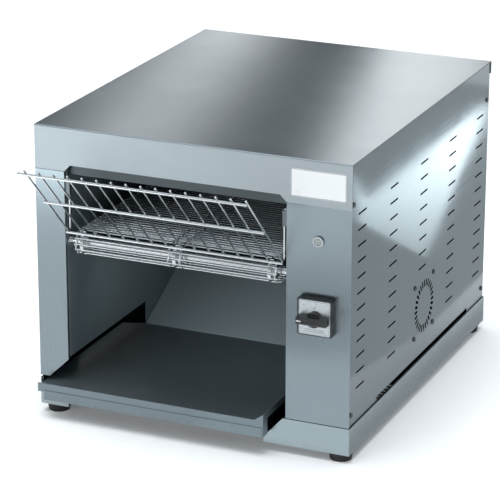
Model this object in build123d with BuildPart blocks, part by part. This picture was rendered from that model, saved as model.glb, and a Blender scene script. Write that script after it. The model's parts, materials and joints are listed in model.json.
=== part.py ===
from build123d import *
import os
from math import asin, cos, degrees, hypot, radians, sin, sqrt, tan

# A conveyor toaster, in millimetres, +Z up, with its front facing -Y.
# The origin is the middle of the footprint, on the surface that the feet stand on.
# Bread laid on the inclined loading rack slides onto the wire belt, passes between the heater
# tubes, drops off the back of the belt and slides down to the collecting tray at the front.

# ---------------------------------------------------------------- driving dimensions

# Casing
BODY_WIDTH = 500.0
BODY_DEPTH = 600.0
BODY_HEIGHT = 440.0
SHEET = 1.2                      # thickness of the casing sheet
PAN_SHEET = 1.5                  # thickness of the base pan sheet
GAP = 0.2                        # between neighbouring sheets
CUT_PAST = 1.0                   # how far a cut runs past the sheet that it goes through
FOLD_RADIUS = 2.4                # outside radius of the header fold
PAN_HEIGHT = 42.0
PAN_LIP = 12.0                   # inward fold along the top of the pan's right front piece
PAN_LEFT_FRONT = 34.0            # height of the pan's left front piece, under the tray
PAN_FLOOR_SETBACK = 30.0         # floor edge behind the front plane, between the front pieces
LEFT_COLUMN_WIDTH = 48.0
CONTROL_WIDTH = 100.0
RETURN_DEPTH = 5.0               # how far the column sheets fold back beside the opening
HEADER_HEIGHT = 67.0
HEADER_OVER_OPENING = 57.0
HEADER_CORNER = 10.0
COLUMN_LIFT = 46.0               # lower edge of the left column above the base
COLUMN_CUT_WIDTH = 32.0          # corner cut from the left column beside the tray
COLUMN_CUT_HEIGHT = 31.0
PAN_CUT_SLOPE_WIDTH = 30.0       # slanting end of the pan's right front piece
PAN_CUT_FOOT = 9.0               # height of that end's upright part
PAN_CUT_OVERHANG = 4.0           # how far that piece reaches into the opening at its top
PAN_GATE_MARGIN = 2.0            # left end of the pan's front gap from the opening's left side
INLET_MARGIN = 20.0              # air inlet slots from the sides of the drive compartment
INLET_SLOTS = 9
INLET_SHIFT = 75.0               # their middle ahead of the body's
COVER_SKIRT = 15.0
COVER_REAR_FOLD = 20.0
CONTROL_SETBACK = 0.2            # clearance of the control panel behind the header sheet

# Feet
FOOT_HEIGHT = 13.0
FOOT_DIAMETER = 36.0
FOOT_INSET = 20.0
FOOT_TAPER = 2.0                 # radius lost towards the floor
FOOT_SCREW_DIAMETER = 5.0
FOOT_RECESS_DIAMETER = 14.0
FOOT_RECESS_DEPTH = 5.0

# Side and rear vents
PANEL_LIFT = 8.0                 # lower edge of the side panels above the base
SLOT_LENGTH = 32.0
SLOT_HEIGHT = 3.0
SLOT_ROWS = 12
SLOT_COLUMNS = 5
SLOT_ROW_PITCH = 24.0
SLOT_COLUMN_PITCH = 128.0
SLOT_TOP_BELOW_TOP = 80.5        # first row below the top of the body
ROWS_ABOVE_FAN = 8
LOW_SLOT_START = 113.0           # behind the front plane
LOW_SLOT_LENGTH = 405.0
LOW_SLOT_HEIGHT = 7.0
LOW_SLOT_LIFT = 46.5
REAR_SLOT_LENGTH = 50.0
REAR_SLOT_COLUMNS = 4
REAR_SLOT_ROWS = 6
REAR_SLOT_COLUMN_PITCH = 90.0
REAR_SLOT_TOP_BELOW_TOP = 90.0
SCREW_FROM_FRONT = 7.0           # side screws from the panel's edges
SCREW_FROM_REAR = 9.0
SCREW_BELOW_TOP = 61.0
SCREW_ABOVE_PAN = 18.0
REAR_SCREW_INSET = 14.0
REAR_SCREW_BELOW_TOP = 40.0

# Wire belt and its toothed wheels
BELT_PITCH = 9.0
BELT_WIRE_DIAMETER = 2.4
BELT_TEETH = 12
BELT_AXIS_HEIGHT = 263.0         # above the base
BELT_SETBACK = 18.0              # front axis behind the front plane
BELT_REAR_SPACE = 96.0           # rear axis to the back plane, at least
BELT_SIDE_GAP = 14.0
LINK_THICKNESS = 1.6
LINK_HEIGHT = 4.9
LINK_CLEARANCE = 0.15
LINK_SIDE_CLEARANCE = 0.3
LINK_INSET = 3.0                 # outer link columns from the wire ends
LINK_FROM_WHEEL = 9.0            # middle link columns from the middle wheel
WHEEL_THICKNESS = 5.0
WHEEL_HUB_DIAMETER = 24.0
WHEEL_HUB_LENGTH = 12.0
WHEEL_INSET = 12.0               # outer wheels from the wire ends
WHEEL_TIP_HEIGHT = 1.6
MOUTH_PAST_TIP = 2.0             # how far a seat's cutter runs past the teeth
SEAT_CLEARANCE = 0.3
SEAT_FLARE = 0.6                 # widening of a seat's mouth for each millimetre outwards

# Shafts and bushes
SHAFT_DIAMETER = 12.0
RUNNING_CLEARANCE = 0.05         # radial, shaft in bush
FIT_CLEARANCE = 0.05             # radial, bush or cap in its hole
BUSH_DIAMETER = 18.0
BUSH_FLANGE_DIAMETER = 24.0
BUSH_FLANGE = 2.0
BUSH_LENGTH = 9.0
SHAFT_PAST_WALL = 12.0
SHAFT_CHAMFER = 0.8

# Chain drive: the larger wheel is on the drive shaft, the smaller on the gearbox
CHAIN_PITCH = 8.0
CHAIN_ROLLER_DIAMETER = 5.0
CHAIN_PLATE_HEIGHT = 6.4
CHAIN_PLATE = 0.8
CHAIN_PLATE_GAP = 0.4            # wheel face to plate
CHAIN_WHEEL_THICKNESS = 3.0
DRIVEN_TEETH = 18
MOTOR_TEETH = 12
SPAN_PITCHES = 17
CHAIN_FROM_WALL = 19.5           # chain plane outside the right chamber wall
CHAIN_TIP_HEIGHT = 1.6
CHAIN_HUB_LENGTH = 6.0           # hubs reach this far inwards from the chain's plane
DRIVEN_HUB_OUT = 5.0             # and this far outwards
MOTOR_HUB_OUT = 4.0
DRIVEN_HUB_DIAMETER = 24.0
MOTOR_HUB_DIAMETER = 15.0

# Gearmotor
MOTOR_PLATE = 2.5
MOTOR_PLATE_FROM_CHAIN = 8.0
GEARBOX_SIZE = 80.0
GEARBOX_LENGTH = 30.0
GEARBOX_CORNER = 6.0
MOTOR_CAN_DIAMETER = 66.0
MOTOR_CAN_LENGTH = 30.0
MOTOR_CAN_ROUND = 4.0
OUTPUT_DIAMETER = 8.0
OUTPUT_BOSS_DIAMETER = 22.0
OUTPUT_PAST_HUB = 2.0            # output shaft past the sprocket's hub
OUTPUT_END_GAP = 0.5

# Heaters
HEATERS_PER_LEVEL = 4
HEATER_PITCH = 95.0
FIRST_HEATER = 95.0              # behind the front plane
TUBE_DIAMETER = 10.0
TUBE_WALL = 1.0
COIL_DIAMETER = 5.0
CAP_DIAMETER = 16.0
CAP_LENGTH = 16.0
CAP_SOCKET = 9.0
UPPER_HEATER_HEIGHT = 348.0      # above the base
REFLECTOR_HEIGHT = 366.0
REFLECTOR_UPSTAND = 28.0
REFLECTOR_FRONT = 12.0
LOWER_REFLECTOR_DROP = 12.0      # below the belt axis
INSULATION_THICKNESS = 30.0

# Belt support bed
BED_RAIL_WIDTH = 3.0
BED_RAIL_HEIGHT = 8.0
BED_RAIL_OFFSETS = (45.0, 115.0)
BED_TIE_DIAMETER = 8.0
BED_TIE_INSET = 22.0
BED_TIE_WELD = 1.0               # how deep a tie rod is sunk into the rails
BED_BELOW_LINKS = 0.3

# Slide, rear guide and tray
SLIDE_ANGLE = 26.0
SLIDE_SHEET = 1.5
SLIDE_SKIRT = 12.0
SLIDE_FOOT = 266.0               # behind the front plane
SLIDE_FOOT_DROP = 12.0
SLIDE_FOOT_LIFT = 1.0            # slide's foot above the tray
SIDE_CLEARANCE = 0.5
GUIDE_RADIUS = 60.0
GUIDE_FROM_REAR = 10.0
WALL_LOW_EDGE = 80.0             # lower edge of the left chamber wall over the tray
TRAY_SHEET = 1.2
TRAY_REACH = 25.0                # front lip ahead of the front plane
TRAY_BEHIND_SLIDE_FOOT = 4.0
TRAY_LIP_DEPTH = 17.0
TRAY_LIP_HEIGHT = 26.0
TRAY_FLOOR_LIFT = 0.3
TRAY_LEFT_GAP = 8.0              # tray from the body's left side
TRAY_RIGHT_GAP = 24.0            # tray from the right chamber wall
TRAY_WING = 38.0                 # sloping left part of the floor
TRAY_WING_DROP = 5.0
TRAY_WALL_RISE = 10.0
TRAY_GUSSET = 14.0
TRAY_NOTCH_WIDTH = 10.0
TRAY_NOTCH_HEIGHT = 12.0
RUNNER_INSET = 6.0               # runners from the edges of the tray's flat floor
RUNNER_WIDTH = 12.0

# Loading rack
RACK_WIRES = 16
RACK_WIRE_DIAMETER = 3.0
RACK_RAIL_DIAMETER = 4.0
RACK_ANGLE = 45.0
RACK_LENGTH = 186.0
RACK_SETBACK = 1.0               # foot of the wires behind the front plane
RACK_ABOVE_BELT_AXIS = 18.5
RACK_SIDE_GAP = 5.0
RACK_LOW_RAILS = (3.0, 97.0)     # cross rails, up the slope from the wires' feet
RACK_TOP_RAIL = 180.0
RACK_TOP_OVERHANG = 12.0         # top rail past the left wire
RACK_WELD = 0.4
RACK_HOOK = 4.2                  # bent top of a leg
RACK_STUB = 2.4                  # short bar from an end wire's foot to a leg's foot
RACK_LEG_SETBACK = 5.5
RACK_LEG_TOP = 361.0             # above the base
RACK_LEG_FOOT = 284.0
CLIP_SHEET = 1.2
CLIP_HEIGHT = 24.0
CLIP_CLEARANCE = 0.3

# Fan
FAN_SIZE = 92.0
FAN_DEPTH = 25.0
FAN_CORNER = 4.0
FAN_BORE = 88.0
FAN_SCREW_SPACING = 82.5
FAN_BEHIND_FRONT = 313.0
FAN_HEIGHT = 125.0
FAN_BLADES = 7
FAN_TIP_CLEARANCE = 1.5
FAN_END_CLEARANCE = 1.5          # rotor from the struts
FAN_FACE_CLEARANCE = 2.5         # rotor from the frame's face
FAN_HUB_DIAMETER = 38.0
BLADE_ROOT = 2.0                 # how deep a blade starts inside the hub
FAN_OVERLAP = 1.0                # how deep a strut ends in the frame, and the pin's root in the hub
FAN_PIN_DIAMETER = 4.0
FAN_STRUT = 3.0
FAN_RING_RADIUS = 36.0           # middle of the ring of radial slots
FAN_RING_SLOTS = 28
FAN_RING_SLOT_LENGTH = 12.0
FAN_RING_SLOT_WIDTH = 4.4
BLADE_THICKNESS = 1.6
BLADE_CHORD = 26.0
BLADE_PITCH_ANGLE = 52.0

# Controls, measured from the right side and the base
CONTROLS_FROM_RIGHT = 51.0       # lamp, switch and label
LAMP_HEIGHT = 320.5
LAMP_DIAMETER = 17.0
LAMP_BODY_DIAMETER = 13.0
LAMP_BODY_LENGTH = 22.0
LAMP_RIM = 3.0
BEZEL_ROUND = 1.0
LENS_RADIUS = 5.5
LENS_SEAT = 4.0                  # lens behind the panel's face
LENS_PROUD = 1.5                 # lens ahead of the rim
LENS_ROUNDING = 0.6              # share of the lens radius
SWITCH_HEIGHT = 208.0            # the spindle
SWITCH_RISE = 2.0                # middle of the block and plate above the spindle
SWITCH_BLOCK_WIDTH = 54.0
SWITCH_BLOCK_HEIGHT = 56.0
SWITCH_BLOCK_DEPTH = 12.0
SWITCH_CORNER = 3.0
SWITCH_PLATE_CORNER = 2.0
SWITCH_PLATE_WIDTH = 48.0
SWITCH_PLATE_HEIGHT = 52.0
SWITCH_PLATE = 1.2
SWITCH_CONTACTS = 44.0
SWITCH_CONTACTS_DEPTH = 46.0
SWITCH_NECK_DIAMETER = 22.0
SPINDLE_DIAMETER = 6.0
SPINDLE_DEPTH = 12.0             # into the contact block
SWITCH_NECK_ROOT = 1.0           # how deep the neck starts inside the contact block
KNOB_DIAMETER = 24.0
KNOB_DISC = 4.0
GRIP_LENGTH = 46.0
GRIP_WIDTH = 11.0
GRIP_HEIGHT = 15.0
KNOB_LIFT = 0.3
LABEL_BELOW_TOP = 35.5           # its middle
LABEL_WIDTH = 84.0
LABEL_DEPTH = 41.0
LABEL_THICKNESS = 0.8
LABEL_CORNER = 2.0

# Cable gland and terminals
GLAND_FROM_RIGHT = 50.0
GLAND_HEIGHT = 70.0
GLAND_HEX = 24.0
GLAND_HEX_LENGTH = 7.0
GLAND_DOME_DIAMETER = 22.0
GLAND_DOME_LENGTH = 15.0
GLAND_ROUND = 4.0
GLAND_BORE = 9.0
GLAND_THREAD = 16.0
GLAND_THREAD_LENGTH = 12.0
GLAND_NUT_LENGTH = 5.0
TERMINAL_WAYS = 5
TERMINAL_PITCH = 11.0
TERMINAL_DEPTH = 22.0
TERMINAL_HEIGHT = 20.0
TERMINAL_HOLE = 5.0

# Screws
SCREW_HEAD_DIAMETER = 8.0
SCREW_HEAD_HEIGHT = 2.2
SCREW_ROUNDING = 0.7             # share of the head's height
SCREW_DIAMETER = 4.0
SCREW_LENGTH = 8.0
SCREW_SOCKET = 2.5
SCREW_SOCKET_DEPTH = 1.2

# ---------------------------------------------------------------- derived places

RACK_LEAN = radians(RACK_ANGLE)
RACK_REACH = (
    RACK_LENGTH * cos(RACK_LEAN) + RACK_WIRE_DIAMETER / 2 * sin(RACK_LEAN) - RACK_SETBACK
)
GLAND_REACH = GLAND_HEX_LENGTH + GLAND_DOME_LENGTH - PAN_SHEET - GAP
FRONT = (RACK_REACH - BODY_DEPTH - GLAND_REACH) / 2
REAR = FRONT + BODY_DEPTH
LEFT = -BODY_WIDTH / 2
RIGHT = BODY_WIDTH / 2
MIDDLE_Y = (FRONT + REAR) / 2
BASE = FOOT_HEIGHT
TOP = BASE + BODY_HEIGHT
PAN_TOP = BASE + PAN_HEIGHT
PAN_FLOOR = BASE + PAN_SHEET
HEADER_EDGE = TOP - HEADER_HEIGHT
UNDER_COVER = TOP - SHEET - GAP

OPEN_LEFT = LEFT + LEFT_COLUMN_WIDTH
OPEN_RIGHT = RIGHT - CONTROL_WIDTH
OPEN_MIDDLE = (OPEN_LEFT + OPEN_RIGHT) / 2
PAN_GATE = (OPEN_LEFT - PAN_GATE_MARGIN, OPEN_RIGHT - PAN_CUT_OVERHANG - PAN_CUT_SLOPE_WIDTH)

PANEL_INSET = PAN_SHEET + GAP                 # side panel's outer face inside the pan's
PANEL_INNER = PANEL_INSET + SHEET
REAR_OUTER = REAR - PANEL_INSET
REAR_INNER = REAR_OUTER - SHEET

BELT_Z = BASE + BELT_AXIS_HEIGHT
WHEEL_RADIUS = BELT_PITCH / (2 * sin(radians(180 / BELT_TEETH)))
BELT_RUN = int((BODY_DEPTH - BELT_SETBACK - BELT_REAR_SPACE) / BELT_PITCH)
IDLER_Y = FRONT + BELT_SETBACK
DRIVE_Y = IDLER_Y + BELT_RUN * BELT_PITCH
BELT_LEFT = OPEN_LEFT + BELT_SIDE_GAP
BELT_RIGHT = OPEN_RIGHT - BELT_SIDE_GAP
WHEEL_PLACES = (BELT_LEFT + WHEEL_INSET, OPEN_MIDDLE, BELT_RIGHT - WHEEL_INSET)
LINK_PLACES = (
    BELT_LEFT + LINK_INSET,
    OPEN_MIDDLE - LINK_FROM_WHEEL,
    OPEN_MIDDLE + LINK_FROM_WHEEL,
    BELT_RIGHT - LINK_INSET,
)

CHAIN_X = OPEN_RIGHT + CHAIN_FROM_WALL
CHAIN_WIDTH = CHAIN_WHEEL_THICKNESS + 2 * (CHAIN_PLATE_GAP + CHAIN_PLATE)
DRIVEN_RADIUS = CHAIN_PITCH / (2 * sin(radians(180 / DRIVEN_TEETH)))
MOTOR_RADIUS = CHAIN_PITCH / (2 * sin(radians(180 / MOTOR_TEETH)))
LAST_MOTOR_SEAT = radians(90 - 180 / MOTOR_TEETH)
SPAN_LEAN = DRIVEN_RADIUS - MOTOR_RADIUS * sin(LAST_MOTOR_SEAT)
CHAIN_CENTRES = (
    sqrt((SPAN_PITCHES * CHAIN_PITCH) ** 2 - SPAN_LEAN**2) - MOTOR_RADIUS * cos(LAST_MOTOR_SEAT)
)
MOTOR_Z = BELT_Z - CHAIN_CENTRES
MOTOR_PLATE_X = CHAIN_X + MOTOR_PLATE_FROM_CHAIN
OUTPUT_END = MOTOR_PLATE_X + GEARBOX_LENGTH / 2

HEATER_ROWS = [FRONT + FIRST_HEATER + n * HEATER_PITCH for n in range(HEATERS_PER_LEVEL)]
HEATER_AXES = [(y, z) for z in (BELT_Z, BASE + UPPER_HEATER_HEIGHT) for y in HEATER_ROWS]
REFLECTOR_Z = BASE + REFLECTOR_HEIGHT
CHAMBER_BACK = REAR - GUIDE_FROM_REAR
BED_TOP = BELT_Z + WHEEL_RADIUS - LINK_HEIGHT / 2 - BED_BELOW_LINKS
TIE_ROWS = (HEATER_ROWS[0] - BED_TIE_INSET, HEATER_ROWS[-1] + BED_TIE_INSET)

TRAY_Z = PAN_TOP + GAP + TRAY_FLOOR_LIFT
TRAY_LEFT = LEFT + TRAY_LEFT_GAP
TRAY_CREASE = TRAY_LEFT + TRAY_WING
TRAY_RIGHT = OPEN_RIGHT - TRAY_RIGHT_GAP
TRAY_FRONT = FRONT - TRAY_REACH
TRAY_BACK = FRONT + SLIDE_FOOT - TRAY_BEHIND_SLIDE_FOOT
TRAY_TOP = TRAY_Z + TRAY_SHEET

SLIDE_SLOPE = radians(SLIDE_ANGLE)
SLIDE_FOOT_Y = FRONT + SLIDE_FOOT
SLIDE_FOOT_Z = TRAY_TOP + SLIDE_FOOT_LIFT
GUIDE_CENTRE_Y = CHAMBER_BACK - GUIDE_RADIUS
GUIDE_CENTRE_Z = SLIDE_FOOT_Z + (
    GUIDE_RADIUS + (GUIDE_CENTRE_Y - SLIDE_FOOT_Y) * sin(SLIDE_SLOPE)
) / cos(SLIDE_SLOPE)
SLIDE_TOP_Y = GUIDE_CENTRE_Y + GUIDE_RADIUS * sin(SLIDE_SLOPE)
SLIDE_TOP_Z = GUIDE_CENTRE_Z - GUIDE_RADIUS * cos(SLIDE_SLOPE)

FAN_Y = FRONT + FAN_BEHIND_FRONT
FAN_Z = BASE + FAN_HEIGHT
FAN_FACE = RIGHT - PANEL_INNER                # fan frame against the panel's inner face
FAN_PLANE = Plane(origin=(FAN_FACE, FAN_Y, FAN_Z), x_dir=(0, 1, 0), z_dir=(1, 0, 0))

CONTROL_FACE = FRONT + SHEET + CONTROL_SETBACK
CONTROL_BACK = CONTROL_FACE + SHEET
CONTROLS_X = RIGHT - CONTROLS_FROM_RIGHT
SWITCH_AT = (CONTROLS_X, BASE + SWITCH_HEIGHT)
LAMP_AT = (CONTROLS_X, BASE + LAMP_HEIGHT)
GLAND_AT = (RIGHT - GLAND_FROM_RIGHT, BASE + GLAND_HEIGHT)

FOOT_PLACES = [
    (x, y)
    for x in (LEFT + FOOT_INSET, RIGHT - FOOT_INSET)
    for y in (FRONT + FOOT_INSET, REAR - FOOT_INSET)
]

# ---------------------------------------------------------------- helpers


def slab(x, y, z, mode=Mode.ADD):
    """A block between two corners; each axis is given as (low, high)."""
    middle = tuple((low + high) / 2 for low, high in (x, y, z))
    with Locations(middle):
        Box(x[1] - x[0], y[1] - y[0], z[1] - z[0], mode=mode)


def rod_x(radius, x, y, z, mode=Mode.ADD):
    """A round bar along X from x[0] to x[1], with its axis through (y, z)."""
    with Locations(((x[0] + x[1]) / 2, y, z)):
        Cylinder(radius, x[1] - x[0], rotation=(0, 90, 0), mode=mode)


def rod_y(radius, x, y, z, mode=Mode.ADD):
    """A round bar along Y from y[0] to y[1], with its axis through (x, z)."""
    with Locations((x, (y[0] + y[1]) / 2, z)):
        Cylinder(radius, y[1] - y[0], rotation=(90, 0, 0), mode=mode)


def rod_between(start, end, radius):
    """A round bar from one point to another."""
    run = Vector(*end) - Vector(*start)
    with Locations(Plane(origin=start, z_dir=run)):
        Cylinder(radius, run.length, align=(Align.CENTER, Align.CENTER, Align.MIN))


def plate_x(outline, x, mode=Mode.ADD):
    """A flat plate across X: an outline of (y, z) points, extruded from x[0] to x[1]."""
    with BuildSketch(Plane.YZ.offset(x[0])) as face:
        with BuildLine():
            Polyline(*outline, close=True)
        make_face()
    extrude(face.sketch, amount=x[1] - x[0], mode=mode)


def plate_y(outline, y, mode=Mode.ADD):
    """A flat plate across Y: an outline of (x, z) points, extruded from y[0] to y[1]."""
    with BuildSketch(Plane.XZ.offset(-y[1])) as face:
        with BuildLine():
            Polyline(*outline, close=True)
        make_face()
    extrude(face.sketch, amount=y[1] - y[0], mode=mode)


def strip_along(line, sheet, x, side=Side.LEFT):
    """Bent sheet across X: a (y, z) line thickened to one side and extruded from x[0] to x[1]."""
    with BuildSketch(Plane.YZ.offset(x[0])) as face:
        with BuildLine():
            add(line)
            offset(amount=sheet, side=side)
        make_face()
    extrude(face.sketch, amount=x[1] - x[0])


def toothed_wheel(pitch, teeth, roller, tip_height, thickness, first_seat=0.0):
    """A flat toothed wheel in the XY plane whose round seats carry rollers of the given radius."""
    pitch_radius = pitch / (2 * sin(radians(180 / teeth)))
    seat = roller + SEAT_CLEARANCE
    mouth = tip_height + MOUTH_PAST_TIP
    with BuildPart() as wheel:
        with BuildSketch():
            Circle(pitch_radius + tip_height)
            with PolarLocations(pitch_radius, teeth, start_angle=first_seat):
                Circle(seat, mode=Mode.SUBTRACT)
            with PolarLocations(pitch_radius, teeth, start_angle=first_seat):
                Polygon(
                    (0, -seat),
                    (mouth, -seat - SEAT_FLARE * mouth),
                    (mouth, seat + SEAT_FLARE * mouth),
                    (0, seat),
                    align=None,
                    mode=Mode.SUBTRACT,
                )
        extrude(amount=thickness / 2, both=True)
    return wheel.part


def keep(piece, name):
    """Label a finished piece and write it as the node of that name."""
    piece.part.label = name
    export_step(piece.part, f"parts/{name}.step")


def across_x(x, y, z):
    """The place of a wheel made in the XY plane whose axis is to lie along X."""
    return Plane(origin=(x, y, z), x_dir=(0, 1, 0), z_dir=(1, 0, 0))


os.makedirs("parts", exist_ok=True)

# ---------------------------------------------------------------- base pan and feet

with BuildPart() as base_pan:
    slab((LEFT, RIGHT), (FRONT, REAR), (BASE, PAN_TOP))
    slab(
        (LEFT + PAN_SHEET, RIGHT - PAN_SHEET),
        (FRONT + PAN_SHEET, REAR - PAN_SHEET),
        (PAN_FLOOR, PAN_TOP),
        mode=Mode.SUBTRACT,
    )
    # The front is open between a low left piece and a right piece with a slanting end.
    plate_y(
        [
            (LEFT + PAN_SHEET, PAN_TOP),
            (LEFT + PAN_SHEET, BASE + PAN_LEFT_FRONT),
            (PAN_GATE[0], BASE + PAN_LEFT_FRONT),
            (PAN_GATE[0], BASE),
            (PAN_GATE[1], BASE),
            (PAN_GATE[1], BASE + PAN_CUT_FOOT),
            (OPEN_RIGHT - PAN_CUT_OVERHANG, PAN_TOP),
        ],
        (FRONT, FRONT + PAN_SHEET),
        mode=Mode.SUBTRACT,
    )
    slab(
        PAN_GATE, (FRONT, FRONT + PAN_FLOOR_SETBACK), (BASE, PAN_FLOOR), mode=Mode.SUBTRACT
    )
    slab(
        (OPEN_RIGHT - PAN_CUT_OVERHANG, RIGHT - PANEL_INNER - GAP),
        (FRONT, FRONT + PAN_LIP),
        (PAN_TOP - PAN_SHEET, PAN_TOP),
    )
    with Locations(*[(x, y, BASE) for x, y in FOOT_PLACES]):
        Cylinder(FOOT_SCREW_DIAMETER / 2, 4 * PAN_SHEET, mode=Mode.SUBTRACT)
    # Air inlet slots under the drive compartment.
    with Locations(((OPEN_RIGHT + RIGHT) / 2, MIDDLE_Y - INLET_SHIFT, BASE)):
        with GridLocations(0, SLOT_ROW_PITCH / 2, 1, INLET_SLOTS):
            Box(CONTROL_WIDTH - 2 * INLET_MARGIN, 2 * SLOT_HEIGHT, 4 * PAN_SHEET, mode=Mode.SUBTRACT)
keep(base_pan, "base_pan")

with BuildPart() as feet:
    with Locations(*[(x, y, 0) for x, y in FOOT_PLACES]):
        Cone(
            FOOT_DIAMETER / 2 - FOOT_TAPER,
            FOOT_DIAMETER / 2,
            FOOT_HEIGHT,
            align=(Align.CENTER, Align.CENTER, Align.MIN),
        )
        Cylinder(FOOT_SCREW_DIAMETER / 2, 4 * FOOT_HEIGHT, mode=Mode.SUBTRACT)
        Cylinder(FOOT_RECESS_DIAMETER / 2, 2 * FOOT_RECESS_DEPTH, mode=Mode.SUBTRACT)
keep(feet, "feet")

# ---------------------------------------------------------------- top cover, columns, panels

with BuildPart() as top_cover:
    # Roof and header are one sheet, folded down along the front.
    with BuildSketch(Plane.YZ.offset(LEFT)):
        with BuildLine():
            Polyline(
                (FRONT, HEADER_EDGE),
                (FRONT, TOP),
                (REAR, TOP),
                (REAR, TOP - COVER_REAR_FOLD),
                (REAR - SHEET, TOP - COVER_REAR_FOLD),
                (REAR - SHEET, TOP - SHEET),
                (FRONT + SHEET, TOP - SHEET),
                (FRONT + SHEET, HEADER_EDGE),
                close=True,
            )
        make_face()
    extrude(amount=BODY_WIDTH)
    folds = top_cover.edges().filter_by(Axis.X)
    fillet(folds.sort_by_distance((0, FRONT, TOP))[0], FOLD_RADIUS)
    folds = top_cover.edges().filter_by(Axis.X)
    fillet(folds.sort_by_distance((0, FRONT + SHEET, TOP - SHEET))[0], FOLD_RADIUS - SHEET)
    plate_y(
        [
            (OPEN_LEFT, HEADER_EDGE),
            (OPEN_RIGHT, HEADER_EDGE),
            (OPEN_RIGHT - HEADER_CORNER, TOP - HEADER_OVER_OPENING),
            (OPEN_LEFT + HEADER_CORNER, TOP - HEADER_OVER_OPENING),
        ],
        (FRONT, FRONT + SHEET),
        mode=Mode.SUBTRACT,
    )
    # Skirts inside the side panels take the panel screws.
    for inner in (LEFT + PANEL_INNER + GAP, RIGHT - PANEL_INNER - GAP - SHEET):
        slab(
            (inner, inner + SHEET),
            (FRONT + 4 * PAN_LIP, REAR - 2 * PAN_LIP),
            (TOP - COVER_SKIRT, TOP - SHEET),
        )
keep(top_cover, "top_cover")

with BuildPart() as left_column:
    corner = OPEN_LEFT - GAP
    foot = BASE + COLUMN_LIFT
    head = HEADER_EDGE - GAP
    plate_y(
        [
            (LEFT, foot),
            (corner - COLUMN_CUT_WIDTH, foot),
            (corner, foot + COLUMN_CUT_HEIGHT),
            (corner, head),
            (LEFT, head),
        ],
        (FRONT, FRONT + SHEET),
    )
    slab(
        (corner - SHEET, corner), (FRONT, FRONT + RETURN_DEPTH), (foot + COLUMN_CUT_HEIGHT, head)
    )
    slab((LEFT, LEFT + SHEET), (FRONT, FRONT + SHEET + PANEL_INSET), (foot, head))
keep(left_column, "left_column")

with BuildPart() as control_panel:
    span = (OPEN_RIGHT, RIGHT - SHEET)
    rise = (PAN_TOP + GAP, HEADER_EDGE + 2 * PAN_LIP)
    slab(span, (CONTROL_FACE, CONTROL_BACK), rise)
    slab((OPEN_RIGHT, OPEN_RIGHT + SHEET), (CONTROL_FACE, CONTROL_FACE + RETURN_DEPTH), rise)
    slab((span[1] - SHEET, span[1]), (CONTROL_FACE, CONTROL_FACE + SHEET + GAP), rise)
    rod_y(
        LAMP_BODY_DIAMETER / 2 + FIT_CLEARANCE,
        LAMP_AT[0], (FRONT, CONTROL_BACK + SHEET), LAMP_AT[1], mode=Mode.SUBTRACT,
    )
    rod_y(
        SWITCH_NECK_DIAMETER / 2 + FIT_CLEARANCE,
        SWITCH_AT[0], (FRONT, CONTROL_BACK + SHEET), SWITCH_AT[1], mode=Mode.SUBTRACT,
    )
keep(control_panel, "control_panel")

PANEL_Y = (FRONT + SHEET + PANEL_INSET + GAP, REAR - PANEL_INNER - GAP)
SIDE_SCREWS = [
    (PANEL_Y[0] + SCREW_FROM_FRONT, TOP - SCREW_BELOW_TOP),
    (PANEL_Y[1] - SCREW_FROM_REAR, TOP - SCREW_BELOW_TOP),
    (PANEL_Y[1] - SCREW_FROM_REAR, PAN_TOP + SCREW_ABOVE_PAN),
    (PANEL_Y[0] + SCREW_FROM_FRONT, PAN_TOP + SCREW_ABOVE_PAN),
]
LOW_SLOT_Y = (FRONT + LOW_SLOT_START, FRONT + LOW_SLOT_START + LOW_SLOT_LENGTH)


def side_panel(outer, inner, fan):
    """A flat side panel with rows of slots, a long low slot and, on one side, the fan's ring."""
    x = (min(outer, inner), max(outer, inner))
    through = (x[0] - CUT_PAST, x[1] + CUT_PAST)
    first_column = MIDDLE_Y - (SLOT_COLUMNS - 1) * SLOT_COLUMN_PITCH / 2
    with BuildPart() as panel:
        slab(x, PANEL_Y, (BASE + PANEL_LIFT, UNDER_COVER))
        with BuildSketch(Plane.YZ.offset(through[0])) as vents:
            for column in range(SLOT_COLUMNS):
                rows = ROWS_ABOVE_FAN if fan and column == SLOT_COLUMNS // 2 else SLOT_ROWS
                for row in range(rows):
                    y = first_column + column * SLOT_COLUMN_PITCH
                    z = TOP - SLOT_TOP_BELOW_TOP - row * SLOT_ROW_PITCH
                    with Locations((y, z)):
                        SlotOverall(SLOT_LENGTH, SLOT_HEIGHT)
            with Locations((sum(LOW_SLOT_Y) / 2, BASE + LOW_SLOT_LIFT)):
                Rectangle(LOW_SLOT_LENGTH, LOW_SLOT_HEIGHT)
            with Locations(*SIDE_SCREWS):
                Circle(SCREW_DIAMETER / 2 + FIT_CLEARANCE)
            if fan:
                with Locations((FAN_Y, FAN_Z)):
                    with PolarLocations(FAN_RING_RADIUS, FAN_RING_SLOTS):
                        SlotOverall(FAN_RING_SLOT_LENGTH, FAN_RING_SLOT_WIDTH)
                    with GridLocations(FAN_SCREW_SPACING, FAN_SCREW_SPACING, 2, 2):
                        Circle(SCREW_DIAMETER / 2 + FIT_CLEARANCE)
        extrude(vents.sketch, amount=through[1] - through[0], mode=Mode.SUBTRACT)
    return panel


left_side_panel = side_panel(LEFT + PANEL_INSET, LEFT + PANEL_INNER, fan=False)
keep(left_side_panel, "left_side_panel")

right_side_panel = side_panel(RIGHT - PANEL_INSET, RIGHT - PANEL_INNER, fan=True)
keep(right_side_panel, "right_side_panel")

REAR_X = (LEFT + PANEL_INNER + GAP, RIGHT - PANEL_INNER - GAP)
REAR_SCREWS = [
    (x, z)
    for x in (REAR_X[0] + REAR_SCREW_INSET, 0.0, REAR_X[1] - REAR_SCREW_INSET)
    for z in (PAN_TOP + SCREW_ABOVE_PAN, TOP - REAR_SCREW_BELOW_TOP)
]

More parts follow.
